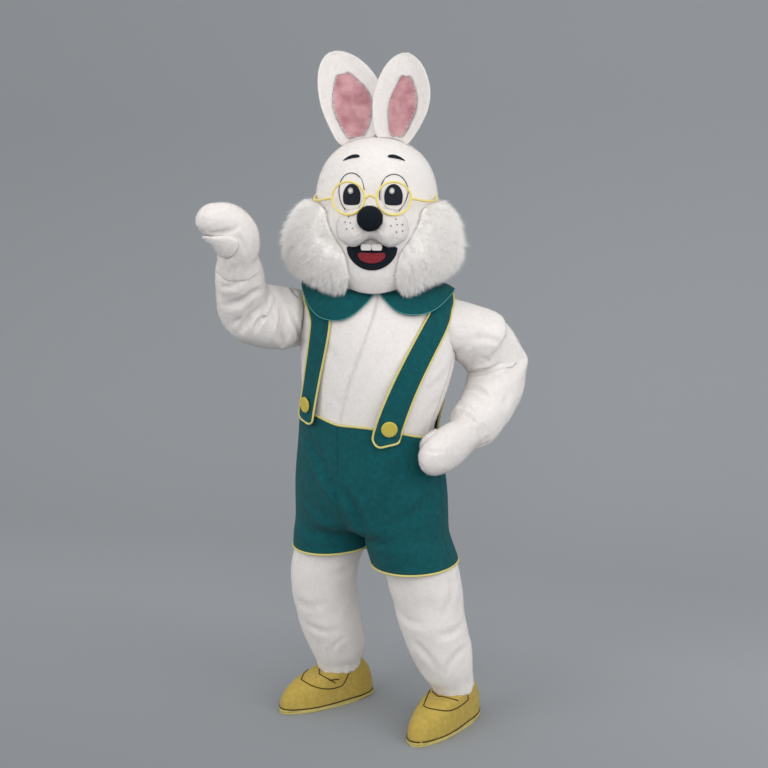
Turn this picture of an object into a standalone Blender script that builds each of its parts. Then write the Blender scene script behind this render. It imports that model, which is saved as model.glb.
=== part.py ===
"""Rabbit mascot costume, hollow and held in a waving pose, ready to be worn.

Every piece that a maker would cut is one object. Heights in the tables are above the floor, the rabbit
faces -Y, and its left is +X. All pieces hang from one empty, which puts the origin between the wearer's
shoulders.
"""

import math
from collections import namedtuple

import bpy
from mathutils import Vector

# Driving dimensions, in metres and degrees.
SHOULDER_HEIGHT = 1.42
SEAM = 0.0003
PLUSH = 0.005
FELT = 0.003
HEAD_FOAM = 0.009
PIPING = 0.0035

PLUSH_WHITE = ("plush_white", (0.72, 0.69, 0.67), 0.95)
FUR_WHITE = ("fur_white", (0.80, 0.78, 0.76), 0.97)
TEAL = ("teal_felt", (0.008, 0.095, 0.105), 0.9)
YELLOW_TRIM = ("yellow_trim", (0.69, 0.62, 0.22), 0.8)
SHOE_FELT = ("shoe_felt", (0.48, 0.37, 0.07), 0.9)
PINK = ("pink_felt", (0.58, 0.27, 0.32), 0.9)
BLACK = ("black_felt", (0.006, 0.007, 0.012), 0.95)
RED = ("red_felt", (0.30, 0.03, 0.04), 0.9)
WHITE_FELT = ("white_felt", (0.80, 0.78, 0.76), 0.8)
GLOSS_BLACK = ("gloss_black", (0.006, 0.008, 0.016), 0.35)
WIRE = ("yellow_wire", (0.74, 0.62, 0.20), 0.4)


# ---------------------------------------------------------------- tables and curves

def at(rows, place):
    """The row at a fractional index of a table, on a smooth curve through the rows."""
    place = min(max(place, 0.0), len(rows) - 1.0)
    low = min(int(place), len(rows) - 2)
    t = place - low
    before, start = rows[max(low - 1, 0)], rows[low]
    end, after = rows[low + 1], rows[min(low + 2, len(rows) - 1)]
    values = []
    for a, b, c, d in zip(before, start, end, after):
        curve = b + 0.5 * t * (c - a + t * (2 * a - 5 * b + 4 * c - d + t * (3 * (b - c) + d - a)))
        values.append(curve)
    return type(start)(*values)


def place_of(rows, key):
    """The fractional index where a table's first column, which only rises or only falls, has a value."""
    sign = 1 if rows[-1][0] > rows[0][0] else -1
    low = 0
    while low < len(rows) - 2 and sign * key > sign * rows[low + 1][0]:
        low += 1
    return low + (key - rows[low][0]) / (rows[low + 1][0] - rows[low][0])


def row_at(rows, key):
    return at(rows, place_of(rows, key))


def steps(start, end, count):
    return [start + (end - start) * i / count for i in range(count + 1)]


def turned(x, y, degrees):
    angle = math.radians(degrees)
    return Vector((x * math.cos(angle) - y * math.sin(angle), x * math.sin(angle) + y * math.cos(angle), 0))


def bell(value):
    """1 at 0, falling smoothly to 0 at -1 and 1."""
    return math.cos(value * math.pi / 2) ** 2 if abs(value) < 1 else 0.0


# ---------------------------------------------------------------- solids from grids

def normals_of(grid, around, away_from=None):
    """A normal for each point of a grid, all on the side that looks away from a point inside."""
    rows, columns = len(grid), len(grid[0])
    middle = away_from or sum((p for row in grid for p in row), Vector()) / (rows * columns)
    found, facing = [], 0.0
    for i in range(rows):
        line = []
        for j in range(columns):
            up = grid[min(i + 1, rows - 1)][j] - grid[max(i - 1, 0)][j]
            if around:
                along = grid[i][(j + 1) % columns] - grid[i][j - 1]
            else:
                along = grid[i][min(j + 1, columns - 1)] - grid[i][max(j - 1, 0)]
            normal = along.cross(up).normalized()
            facing += normal.dot((grid[i][j] - middle).normalized())
            line.append(normal)
        found.append(line)
    if facing < 0:
        found = [[-normal for normal in line] for line in found]
    return found


def moved_out(grid, distance, around=False, away_from=None):
    normals = normals_of(grid, around, away_from)
    return [[p + n * distance for p, n in zip(row, line)] for row, line in zip(grid, normals)]


def add_object(name, points, faces, finish, parent):
    mesh = bpy.data.meshes.new(name)
    mesh.from_pydata([tuple(p) for p in points], [], faces)
    mesh.validate()
    obj = bpy.data.objects.new(name, mesh)
    bpy.context.scene.collection.objects.link(obj)
    obj.parent = parent
    mesh.materials.append(material(finish))
    mesh.shade_smooth()
    mesh.set_sharp_from_angle(angle=math.radians(50))
    return obj


def material(finish):
    name, colour, roughness = finish
    found = bpy.data.materials.get(name)
    if found:
        return found
    made = bpy.data.materials.new(name)
    made.use_nodes = True
    made.diffuse_color = (*colour, 1)
    shader = made.node_tree.nodes["Principled BSDF"]
    shader.inputs["Base Color"].default_value = (*colour, 1)
    shader.inputs["Roughness"].default_value = roughness
    return made


def shell(name, outer, inner, finish, parent, around=False, close_start=False, close_end=False):
    """A closed solid between two grids of the same size. A closed end is one flat face on each grid."""
    rows, columns = len(outer), len(outer[0])
    points = [p for row in outer for p in row] + [p for row in inner for p in row]
    skip = rows * columns

    def index(i, j):
        return i * columns + j % columns

    across = columns if around else columns - 1
    faces = []
    for i in range(rows - 1):
        for j in range(across):
            quad = (index(i, j), index(i, j + 1), index(i + 1, j + 1), index(i + 1, j))
            faces.append(quad)
            faces.append(tuple(skip + k for k in reversed(quad)))
    for row, closed, step in ((0, close_start, 1), (rows - 1, close_end, -1)):
        if closed:
            ring = [index(row, j) for j in range(columns)][::-step]
            faces.append(tuple(ring))
            faces.append(tuple(skip + k for k in reversed(ring)))
            continue
        for j in range(across):
            a, b = (index(row, j), index(row, j + 1))[::step]
            faces.append((b, a, skip + a, skip + b))
    if not around:
        for column, step in ((0, -1), (columns - 1, 1)):
            for i in range(rows - 1):
                a, b = (index(i, column), index(i + 1, column))[::step]
                faces.append((b, a, skip + a, skip + b))
    if volume(points, faces) < 0:
        faces = [face[::-1] for face in faces]
    return add_object(name, points, faces, finish, parent)


def volume(points, faces):
    total = 0.0
    for face in faces:
        for k in range(1, len(face) - 1):
            a, b, c = points[face[0]], points[face[k]], points[face[k + 1]]
            total += a.dot(b.cross(c))
    return total / 6


def cloth(name, grid, thickness, finish, parent, around=False, away_from=None, close_end=False):
    """Cloth whose outer face is the grid. The wall goes inwards from it."""
    inner = moved_out(grid, -thickness, around, away_from)
    return shell(name, grid, inner, finish, parent, around, close_end=close_end)


def surface_normal(surface, u, v, step_u, step_v):
    along = surface(u, v + step_v) - surface(u, v - step_v)
    up = surface(u + step_u, v) - surface(u - step_u, v)
    return along.cross(up).normalized()


def both_faces(surface, places, thickness, inside, step):
    """Outer and inner points of cloth on a smooth surface, with its wall square to it."""
    outer = [[surface(u, v) for u, v in line] for line in places]
    normals = [[surface_normal(surface, u, v, *step) for u, v in line] for line in places]
    facing = sum(n.dot(p - inside) for row, line in zip(outer, normals) for p, n in zip(row, line))
    depth = math.copysign(thickness, facing)
    inner = [[p - n * depth for p, n in zip(row, line)] for row, line in zip(outer, normals)]
    return outer, inner


def tube(name, path, radius, finish, parent, closed=False, sides=6):
    """A round cord or wire along a list of points."""
    curve = bpy.data.curves.new(name, "CURVE")
    curve.dimensions = "3D"
    curve.bevel_depth = radius
    curve.bevel_resolution = sides // 2 - 2
    curve.use_fill_caps = not closed
    spline = curve.splines.new("POLY")
    spline.points.add(len(path) - 1)
    for point, place in zip(spline.points, path):
        point.co = (*place, 1)
    spline.use_cyclic_u = closed
    obj = bpy.data.objects.new(name, curve)
    bpy.context.scene.collection.objects.link(obj)
    curve.materials.append(material(finish))
    obj.parent = parent
    return obj


def empty(name, location, rotation=(0, 0, 0), parent=None):
    obj = bpy.data.objects.new(name, None)
    bpy.context.scene.collection.objects.link(obj)
    obj.parent = parent
    obj.location = location
    obj.rotation_euler = [math.radians(angle) for angle in rotation]
    return obj


# ---------------------------------------------------------------- body of the suit

Girth = namedtuple("Girth", "height x y half_width front back front_rise back_rise turn tilt")
# From the tail inside the shorts up to the neck.
TORSO = [
    Girth(0.925, -0.032, -0.004, 0.232, 0.170, 0.172, 0.000, 0.000, -12, 0.00),  # tail
    Girth(0.980, -0.034, -0.006, 0.224, 0.166, 0.166, 0.000, 0.000, -11, 0.00),  # waist
    Girth(1.060, -0.020, -0.004, 0.236, 0.178, 0.172, 0.000, 0.000, -9, 0.00),  # ribs
    Girth(1.150, -0.006, -0.002, 0.247, 0.188, 0.178, 0.000, 0.000, -4, 0.00),  # chest
    Girth(1.235, 0.000, -0.003, 0.250, 0.186, 0.182, 0.000, 0.000, 4, 0.00),  # underarm
    Girth(1.328, 0.002, -0.004, 0.246, 0.172, 0.178, -0.012, 0.000, 12, -0.03),  # mid armhole
    Girth(1.408, 0.003, -0.004, 0.228, 0.150, 0.160, -0.044, -0.008, 16, -0.05),  # shoulder
    Girth(1.426, 0.005, -0.006, 0.172, 0.126, 0.130, -0.030, -0.004, 18, -0.04),  # yoke
    Girth(1.437, 0.006, -0.008, 0.104, 0.104, 0.104, -0.012, 0.000, 18, -0.02),  # neck
]
WAIST, UNDERARM, ARMHOLE_TOP, NECK = 1.0, 4.0, 5.85, 8.0
ARMHOLE_ROWS = 7
ARMHOLE_HALF_ANGLE = 23
TORSO_STEP = (0.02, 0.5)
CHEST = Vector((0, 0, 1.15))
FRONT, LEFT, BACK, RIGHT = -90, 0, 90, 180


def torso_point(ring, angle, out=0.0):
    """A point of the torso's outer face: a ring of the table, and degrees from the rabbit's left side."""
    row = at(TORSO, ring)
    c, s = math.cos(math.radians(angle)), math.sin(math.radians(angle))
    depth, rise = (row.front, row.front_rise) if s < 0 else (row.back, row.back_rise)
    place = turned((row.half_width + out) * c, (depth + out) * s, row.turn)
    height = row.height + rise * s * s + row.tilt * row.half_width * c
    return Vector((row.x, row.y, height)) + place


def armhole_angle(ring):
    """How far the armhole cuts the panels back from the side, in degrees."""
    place = (ring - UNDERARM) / (ARMHOLE_TOP - UNDERARM)
    return ARMHOLE_HALF_ANGLE * math.sin(math.pi * place) ** 0.6 if 0 < place < 1 else 0.0


TORSO_RINGS = (
    [0.0, WAIST, 1.7, 2.4, 3.2]
    + steps(UNDERARM, ARMHOLE_TOP, ARMHOLE_ROWS)
    + [6.45, 7.0, 7.5, NECK]
)
PANEL_COLUMNS = 6


def torso_panel(centre, side):
    """Both faces of one quarter of the torso, from its centre seam to its side and shoulder seams."""
    places = []
    turn_to_side = 1 if (side == LEFT) == (centre == FRONT) else -1
    for ring in TORSO_RINGS:
        half_seam = math.degrees(SEAM * 0.8 / at(TORSO, ring).half_width)
        width = 90 - armhole_angle(ring) - half_seam
        places.append([(ring, centre + turn_to_side * a) for a in steps(half_seam, width, PANEL_COLUMNS)])
    return both_faces(torso_point, places, PLUSH, CHEST, TORSO_STEP)


def armhole(side):
    """The armhole's outer and inner points, from the underarm up the front and down the back."""
    rows = [TORSO_RINGS.index(ring) for ring in steps(UNDERARM, ARMHOLE_TOP, ARMHOLE_ROWS)]
    start, end = rows[0], rows[-1]
    loops = []
    for front, back in zip(torso_panel(FRONT, side), torso_panel(BACK, side)):
        low, high = (front[start][-1] + back[start][-1]) / 2, (front[end][-1] + back[end][-1]) / 2
        low = low + (low - (front[start - 1][-1] + back[start - 1][-1]) / 2).normalized() * SEAM
        high = high + (high - (front[end + 1][-1] + back[end + 1][-1]) / 2).normalized() * SEAM
        loop = [low]
        for i in rows[1:-1]:
            loop.append(front[i][-1] + (front[i][-1] - front[i][-2]).normalized() * SEAM * 2)
        loop.append(high)
        for i in rows[-2:0:-1]:
            loop.append(back[i][-1] + (back[i][-1] - back[i][-2]).normalized() * SEAM * 2)
        loops.append(loop)
    return loops


def make_torso(parent):
    for centre, face in ((FRONT, "front"), (BACK, "back")):
        for side, hand in ((RIGHT, "right"), (LEFT, "left")):
            outer, inner = torso_panel(centre, side)
            shell(f"torso_{face}_{hand}", outer, inner, PLUSH_WHITE, parent)


# ---------------------------------------------------------------- sleeves

Section = namedtuple("Section", "x y height wide deep")
# Middle of each section, its half size across the arm's bend and its half size the other way.
SLEEVE = {
    RIGHT: [
        Section(-0.240, -0.070, 1.318, 0.094, 0.092),  # armhole
        Section(-0.278, -0.107, 1.326, 0.097, 0.090),
        Section(-0.316, -0.136, 1.331, 0.098, 0.088),
        Section(-0.351, -0.170, 1.339, 0.092, 0.088),
        Section(-0.365, -0.202, 1.378, 0.084, 0.084),  # elbow
        Section(-0.357, -0.236, 1.423, 0.078, 0.078),
        Section(-0.345, -0.264, 1.460, 0.074, 0.074),
        Section(-0.338, -0.283, 1.488, 0.071, 0.071),  # cuff
    ],
    LEFT: [
        Section(0.250, 0.040, 1.316, 0.098, 0.092),  # armhole
        Section(0.293, 0.074, 1.276, 0.096, 0.092),
        Section(0.325, 0.118, 1.231, 0.094, 0.092),
        Section(0.346, 0.150, 1.173, 0.096, 0.096),  # elbow
        Section(0.351, 0.118, 1.108, 0.090, 0.088),
        Section(0.332, 0.056, 1.038, 0.082, 0.080),
        Section(0.297, -0.022, 0.981, 0.073, 0.070),  # cuff
    ],
}
Fold = namedtuple("Fold", "place angle length spread depth")
# Place along the sections, degrees round from the lower side through the front, and the troughs' sizes.
SLEEVE_FOLDS = {
    RIGHT: [
        Fold(1.2, 110, 0.6, 70, 0.010),
        Fold(2.3, 110, 0.5, 60, 0.010),
        Fold(3.9, 180, 0.8, 70, 0.016),
        Fold(3.5, 60, 0.5, 40, 0.006),
    ],
    LEFT: [
        Fold(1.2, 30, 0.7, 60, 0.010),
        Fold(3.0, 0, 0.8, 70, 0.016),
        Fold(4.2, 40, 0.5, 60, 0.008),
        Fold(2.2, 80, 0.5, 40, 0.005),
    ],
}
SLEEVE_STEPS = {RIGHT: 13, LEFT: 12}
FIRST_STATION = {RIGHT: 0.7, LEFT: 1.1}


def frames_along(rows, places, up):
    """A middle, a side direction and an up direction for each place, turned smoothly along the path."""
    found = []
    for place in places:
        ahead, behind = at(rows, place + 0.05), at(rows, place - 0.05)
        heading = Vector((ahead.x - behind.x, ahead.y - behind.y, ahead.height - behind.height)).normalized()
        up = (up - heading * up.dot(heading)).normalized()
        row = at(rows, place)
        found.append((row, Vector((row.x, row.y, row.height)), heading.cross(up), up))
    return found


def fold_depth(folds, place, angle):
    total = 0.0
    for fold in folds:
        around = (angle - fold.angle + 180) % 360 - 180
        total += fold.depth * bell((place - fold.place) / fold.length) * bell(around / fold.spread)
    return total


def limb_rings(rows, places, up, count, side, folds=(), squeeze=None):
    """Rings round a path. Each starts below the path and goes round by the front."""
    rings = []
    sign = 1 if side == LEFT else -1
    for (row, middle, across, above), place in zip(frames_along(rows, places, up), places):
        ring = []
        for j in range(count):
            angle = 360 * j / count
            c, s = math.cos(math.radians(angle)), math.sin(math.radians(angle))
            depth = fold_depth(folds, place, angle) + (squeeze(place, angle) if squeeze else 0)
            ring.append(middle - above * c * (row.wide - depth) + across * sign * s * (row.deep - depth))
        rings.append(ring)
    return rings


def sleeve_grid(side):
    rows = SLEEVE[side]
    places = steps(FIRST_STATION[side], len(rows) - 1, SLEEVE_STEPS[side])
    outer = limb_rings(rows, places, Vector((0, 0, 1)), 2 * ARMHOLE_ROWS, side, SLEEVE_FOLDS[side])
    return outer


def make_sleeves(parent):
    for side, hand in ((RIGHT, "right"), (LEFT, "left")):
        outer_start, inner_start = armhole(side)
        rest = sleeve_grid(side)
        grid = [outer_start] + rest
        inner = moved_out(grid, -PLUSH, around=True)
        inner[0] = inner_start
        shell(f"sleeve_{hand}", grid, inner, PLUSH_WHITE, parent, around=True)


# ---------------------------------------------------------------- mitts

MITT = {
    RIGHT: [
        Section(-0.337, -0.287, 1.4917, 0.071, 0.069),  # ruffled edge
        Section(-0.332, -0.302, 1.512, 0.064, 0.062),  # gathered wrist
        Section(-0.324, -0.315, 1.539, 0.066, 0.060),
        Section(-0.314, -0.327, 1.569, 0.068, 0.060),  # palm
        Section(-0.317, -0.339, 1.598, 0.066, 0.058),
        Section(-0.337, -0.362, 1.621, 0.058, 0.056),
        Section(-0.363, -0.387, 1.624, 0.053, 0.052),
        Section(-0.383, -0.405, 1.612, 0.040, 0.040),
        Section(-0.393, -0.414, 1.601, 0.018, 0.018),  # finger tips
    ],
    LEFT: [
        Section(0.304, -0.008, 0.988, 0.0635, 0.0605),  # gathered wrist
        Section(0.291, -0.038, 0.974, 0.056, 0.052),
        Section(0.276, -0.076, 0.957, 0.064, 0.052),
        Section(0.258, -0.112, 0.940, 0.066, 0.050),  # palm
        Section(0.241, -0.142, 0.925, 0.060, 0.048),
        Section(0.226, -0.165, 0.914, 0.050, 0.040),
        Section(0.216, -0.180, 0.907, 0.034, 0.028),
        Section(0.210, -0.188, 0.903, 0.016, 0.014),  # finger tips
    ],
}
MITT_STEPS = 9
MITT_COLUMNS = 14
CUFF_GATHERS = 7
GATHER_DEPTH = 0.003
Thumb = namedtuple("Thumb", "place angle half_place half_angle reach gap lean_x lean_y lean_z")
THUMB = {
    RIGHT: Thumb(3.6, 312, 1.5, 54, 0.052, 0.0048, -0.6, -0.4, 0.75),
    LEFT: Thumb(3.4, 120, 1.0, 42, 0.020, 0.0015, -0.3, -0.8, -0.3),
}
THUMB_COLUMNS, THUMB_RINGS = 10, 4
THUMB_RADIUS = 0.035


def cuff_gathers(place, angle):
    return GATHER_DEPTH * bell(place / 1.5) * (1 + math.cos(math.radians(CUFF_GATHERS * angle)))


def mitt_grid(side):
    rows = MITT[side]
    places = steps(0, len(rows) - 1, MITT_STEPS)
    return limb_rings(rows, places, Vector((0, 0, 1)), MITT_COLUMNS, side, squeeze=cuff_gathers)


def on_mitt(side, place, angle, out):
    rows = MITT[side]
    reached = steps(0, place, 8)
    _, middle, across, above = frames_along(rows, reached, Vector((0, 0, 1)))[-1]
    row = at(rows, place)
    sign = 1 if side == LEFT else -1
    c, s = math.cos(math.radians(angle)), math.sin(math.radians(angle))
    return middle - above * c * (row.wide + out) + across * sign * s * (row.deep + out)


def thumb_rings(side, inset):
    """Rings from the thumb's root on the mitt out to its tip, drawn in by an inset."""
    thumb = THUMB[side]
    middle = on_mitt(side, thumb.place, thumb.angle, 0)
    tip_way = (on_mitt(side, thumb.place, thumb.angle, 1) - middle).normalized()
    tip_way = (tip_way + Vector((thumb.lean_x, thumb.lean_y, thumb.lean_z))).normalized()
    rings = []
    for k in range(THUMB_RINGS + 1):
        lean = math.radians(80 * k / THUMB_RINGS)
        size = math.cos(lean) * (1 - inset / THUMB_RADIUS)
        ring = []
        for j in range(THUMB_COLUMNS):
            turn = 2 * math.pi * j / THUMB_COLUMNS
            place = thumb.place + thumb.half_place * size * math.cos(turn)
            angle = thumb.angle + thumb.half_angle * size * math.sin(turn)
            foot = on_mitt(side, place, angle, thumb.gap)
            ring.append(foot + tip_way * (thumb.reach - inset) * math.sin(lean))
        rings.append(ring)
    return rings


def make_mitts(parent):
    for side, hand in ((RIGHT, "right"), (LEFT, "left")):
        grid = mitt_grid(side)
        cloth(f"mitt_{hand}", grid, PLUSH, PLUSH_WHITE, parent, around=True, close_end=True)
        outer, inner = thumb_rings(side, 0), thumb_rings(side, PLUSH)
        shell(f"thumb_{hand}", outer, inner, PLUSH_WHITE, parent, around=True, close_end=True)


# ---------------------------------------------------------------- legs and shorts

Hip = namedtuple("Hip", "height x y half_width front back turn")
HIPS = [
    Hip(1.000, -0.034, -0.006, 0.226, 0.164, 0.164, -12),
    Hip(0.920, -0.031, -0.004, 0.236, 0.170, 0.172, -12),
    Hip(0.820, -0.028, -0.002, 0.250, 0.176, 0.182, -12),
    Hip(0.720, -0.026, 0.000, 0.256, 0.174, 0.180, -12),
    Hip(0.560, -0.024, 0.002, 0.260, 0.170, 0.176, -12),
]
Leg = namedtuple("Leg", "height x y wide deep turn slope")
LEG = {
    RIGHT: [
        Leg(0.800, -0.145, 0.020, 0.118, 0.150, -12, 0.0),
        Leg(0.700, -0.150, 0.022, 0.118, 0.140, -14, 0.0),
        Leg(0.630, -0.161, 0.024, 0.110, 0.130, -17, 0.0),
        Leg(0.590, -0.166, 0.024, 0.109, 0.124, -18, 0.0),
        Leg(0.545, -0.189, 0.023, 0.112, 0.118, -20, 0.0),
        Leg(0.460, -0.200, 0.024, 0.106, 0.112, -22, 0.0),
        Leg(0.365, -0.203, 0.043, 0.102, 0.108, -24, 0.0),
        Leg(0.288, -0.194, 0.062, 0.101, 0.106, -28, 0.02),
        Leg(0.222, -0.183, 0.080, 0.092, 0.098, -32, 0.06),
        Leg(0.170, -0.177, 0.094, 0.078, 0.086, -36, 0.10),
        Leg(0.147, -0.176, 0.102, 0.066, 0.074, -38, 0.12),
        Leg(0.132, -0.177, 0.107, 0.0542, 0.0622, -38, 0.10),
        Leg(0.112, -0.177, 0.109, 0.0492, 0.0572, -38, 0.05),
    ],
    LEFT: [
        Leg(0.800, 0.090, -0.028, 0.118, 0.150, -12, 0.0),
        Leg(0.700, 0.094, -0.030, 0.118, 0.142, -12, 0.0),
        Leg(0.630, 0.112, -0.026, 0.114, 0.134, -12, 0.0),
        Leg(0.550, 0.146, -0.012, 0.118, 0.124, -12, 0.0),
        Leg(0.460, 0.163, 0.002, 0.115, 0.118, -12, 0.0),
        Leg(0.351, 0.181, 0.013, 0.107, 0.112, -13, 0.0),
        Leg(0.282, 0.197, 0.023, 0.102, 0.107, -14, 0.02),
        Leg(0.222, 0.213, 0.034, 0.094, 0.099, -15, 0.06),
        Leg(0.170, 0.228, 0.046, 0.078, 0.086, -17, 0.10),
        Leg(0.147, 0.236, 0.054, 0.066, 0.074, -18, 0.12),
        Leg(0.132, 0.241, 0.060, 0.0548, 0.0628, -18, 0.10),
        Leg(0.112, 0.242, 0.062, 0.0498, 0.0578, -18, 0.05),
    ],
}
SHORTS_LEG = {
    RIGHT: [
        Leg(0.800, -0.145, 0.020, 0.112, 0.150, -12, 0.0),
        Leg(0.700, -0.152, 0.022, 0.114, 0.140, -14, 0.0),
        Leg(0.630, -0.159, 0.024, 0.117, 0.134, -16, 0.0),
        Leg(0.560, -0.162, 0.024, 0.119, 0.128, -17, 0.0),
    ],
    LEFT: [
        Leg(0.800, 0.090, -0.028, 0.112, 0.150, -12, 0.0),
        Leg(0.700, 0.100, -0.030, 0.114, 0.142, -12, 0.0),
        Leg(0.630, 0.114, -0.026, 0.118, 0.136, -12, 0.0),
        Leg(0.550, 0.133, -0.016, 0.124, 0.130, -12, 0.0),
    ],
}
HALF_GIRTH = 0.6
# Height of each crotch, and the point in plan where both legs' inner seams meet there.
SUIT_CROTCH, SHORTS_CROTCH = Vector((-0.028, -0.003, 0.690)), Vector((-0.027, -0.001, 0.625))
CROTCH_BLEND = 0.10
RISE = 0.150
LEG_TOP = 0.9245
LEG_COLUMNS = 12
SHORTS_COLUMNS = 8
LEG_END = [0.147, 0.132, 0.112]
SHORTS_EASE, HEM_EASE = 0.010, 0.004
HEM_HEIGHT, HEM_DIP = {RIGHT: 0.585, LEFT: 0.560}, 0.010
# Height of the waist edge from the centre front, at share 0, round each side to the centre back.
Waist = namedtuple("Waist", "share right left")
WAIST_EDGE = [
    Waist(0.00, 1.004, 1.004),
    Waist(0.07, 1.016, 1.002),
    Waist(0.15, 1.026, 0.999),
    Waist(0.25, 1.020, 0.990),
    Waist(0.37, 1.000, 0.973),
    Waist(0.50, 0.980, 0.960),
    Waist(0.75, 0.972, 0.962),
    Waist(1.00, 0.968, 0.968),
]


def hip_point(side, height, share, leg_rows, crotch, out=0.0):
    """A point of one trouser half: share 0 is its front edge, 0.5 its outer side and 1 its back edge.

    The hips' ring turns into the leg's own ring between the start of the rise and the crotch, where the inner
    edges of both legs meet.
    """
    sign = 1 if side == LEFT else -1
    hip, leg = row_at(HIPS, height), row_at(leg_rows[side], height)
    angle = math.radians(-90 + 180 * share)
    depth = hip.front if angle < 0 else hip.back
    sideways, forwards = sign * (hip.half_width + out) * math.cos(angle), (depth + out) * math.sin(angle)
    hip_place = turned(sideways, forwards, hip.turn)
    on_hip = Vector((hip.x, hip.y, height)) + hip_place
    angle = math.radians(180 + 360 * share)
    leg_middle = Vector((leg.x, leg.y, height + leg.slope * leg.deep * math.sin(angle)))
    sideways, forwards = sign * (leg.wide + out) * math.cos(angle), (leg.deep + out) * math.sin(angle)
    leg_place = turned(sideways, forwards, leg.turn)
    inner_edge = leg_middle + turned(-sign * (leg.wide + out), 0, leg.turn)
    pull = Vector((crotch.x + sign * SEAM / 2, crotch.y, inner_edge.z)) - inner_edge
    nearness = max(-math.cos(angle), 0) ** 6 * bell(min(height - crotch.z, 0) / CROTCH_BLEND)
    on_leg = leg_middle + leg_place + pull * nearness
    down = min(max((crotch.z + RISE - height) / RISE, 0), 1)
    blend = 1 - math.sqrt(1 - down * down)
    return on_hip.lerp(on_leg, blend)


def seam_shares(first, last, columns):
    """Even shares from one seam to the next, drawn in by half a seam's gap at each end."""
    inset = SEAM / 2 / HALF_GIRTH
    return steps(first + inset, last - inset, columns)


def make_legs(parent):
    heights = (
        [LEG_TOP]
        + [SUIT_CROTCH.z + RISE * (1 - math.sin(math.radians(a))) for a in (0, 30, 55, 90)]
        + steps(SUIT_CROTCH.z, 0.17, 8)[1:]
        + LEG_END
    )
    for side, hand in ((RIGHT, "right"), (LEFT, "left")):

        def surface(height, share):
            return hip_point(side, height, share, LEG, SUIT_CROTCH)

        places = [[(height, share) for share in seam_shares(0, 1, LEG_COLUMNS)] for height in heights]
        inside = Vector((LEG[side][0].x, 0, 0.5))
        outer, inner = both_faces(surface, places, PLUSH, inside, (0.002, 0.004))
        shell(f"leg_{hand}", outer, inner, PLUSH_WHITE, parent)


def shorts_point(side, share, down):
    """A point of the shorts: down runs from 0 at the waist through 1 at the crotch to 2 at the hem."""
    edge = row_at(WAIST_EDGE, share)
    top = edge.left if side == LEFT else edge.right
    hem = HEM_HEIGHT[side] - HEM_DIP * math.sin(2 * math.pi * share)
    start, end = (top, SHORTS_CROTCH.z) if down < 1 else (SHORTS_CROTCH.z, hem)
    height = start + (end - start) * (down if down < 1 else down - 1)
    return hip_point(side, height, share, SHORTS_LEG, SHORTS_CROTCH, SHORTS_EASE + HEM_EASE * down / 2)


def make_shorts(parent):
    downs = [0, 0.16, 0.34, 0.52, 0.68, 0.81, 0.91, 1, 1.5, 2]
    for side, hand in ((RIGHT, "right"), (LEFT, "left")):

        def surface(down, share):
            return shorts_point(side, share, down)

        inside = Vector((LEG[side][0].x, 0, 0.8))
        for face, first, last in (("front", 0.0, 0.5), ("back", 0.5, 1.0)):
            places = [[(down, share) for share in seam_shares(first, last, SHORTS_COLUMNS)] for down in downs]
            outer, inner = both_faces(surface, places, FELT, inside, (0.01, 0.004))
            shell(f"shorts_{face}_{hand}", outer, inner, TEAL, parent)
        around = steps(0, 1, 2 * SHORTS_COLUMNS)
        drop = Vector((0, 0, PIPING + SEAM))
        ring = [shorts_point(side, share, 2) - drop for share in around[:-1]]
        tube(f"hem_piping_{hand}", ring, PIPING, YELLOW_TRIM, parent, closed=True, sides=4)
    ring = [shorts_point(LEFT, share, 0) for share in around]
    ring += [shorts_point(RIGHT, share, 0) for share in around[-2:0:-1]]
    tube("waist_piping", [p + drop for p in ring], PIPING, YELLOW_TRIM, parent, closed=True, sides=4)


# ---------------------------------------------------------------- collar, straps and buttons

COLLAR_COLUMNS, COLLAR_ROWS = 13, 5
COLLAR_GAP, COLLAR_OVER_STRAP = 0.006, 0.0144
Reach = namedtuple("Reach", "angle right left")
# How far down the torso's rings each lobe reaches, by degrees from the centre front round to the centre back.
COLLAR_REACH = [
    Reach(0, 7.60, 7.60),
    Reach(5, 6.70, 7.00),
    Reach(9, 5.90, 6.40),
    Reach(14, 5.33, 5.88),
    Reach(20, 5.12, 5.55),
    Reach(27, 5.05, 5.40),
    Reach(35, 5.12, 5.36),
    Reach(44, 5.26, 5.46),
    Reach(52, 5.42, 5.65),
    Reach(62, 5.80, 5.85),
    Reach(76, 6.02, 6.02),
    Reach(92, 6.10, 6.10),
    Reach(108, 5.95, 5.95),
    Reach(124, 5.52, 5.54),
    Reach(140, 5.38, 5.38),
    Reach(154, 5.50, 5.50),
    Reach(168, 6.30, 6.30),
    Reach(180, 7.60, 7.60),
]


def over_strap(angle):
    """1 where the collar lies over a strap, 0 near its front and back corners."""
    return min(max(min(angle - 12, 162 - angle) / 20, 0), 1)


def collar_grid(side):
    """One lobe of the flat collar, from its roll at the neck to its outer edge."""
    sign = 1 if side == LEFT else -1
    grid = []
    for row in range(COLLAR_ROWS + 1):
        line = []
        for share in steps(0, 1, COLLAR_COLUMNS):
            angle = 0.7 + 178.6 * (share - 0.07 * math.sin(2 * math.pi * share))
            reach = row_at(COLLAR_REACH, angle)
            edge = reach.left if side == LEFT else reach.right
            ring = NECK - 0.05 + (edge - NECK + 0.05) * row / COLLAR_ROWS
            gap = COLLAR_GAP + COLLAR_OVER_STRAP * over_strap(angle) * min(row / 2, 1)
            place = ring, FRONT + sign * angle
            line.append(torso_point(*place) + torso_normal(*place) * gap)
        grid.append(line)
    return grid


def make_collar(parent):
    for side, hand in ((RIGHT, "right"), (LEFT, "left")):
        grid = collar_grid(side)
        upper = moved_out(grid, FELT, away_from=Vector((0, 0, 1.0)))
        shell(f"collar_{hand}", upper, grid, TEAL, parent)


Strap = namedtuple("Strap", "ring right left gap")
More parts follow.
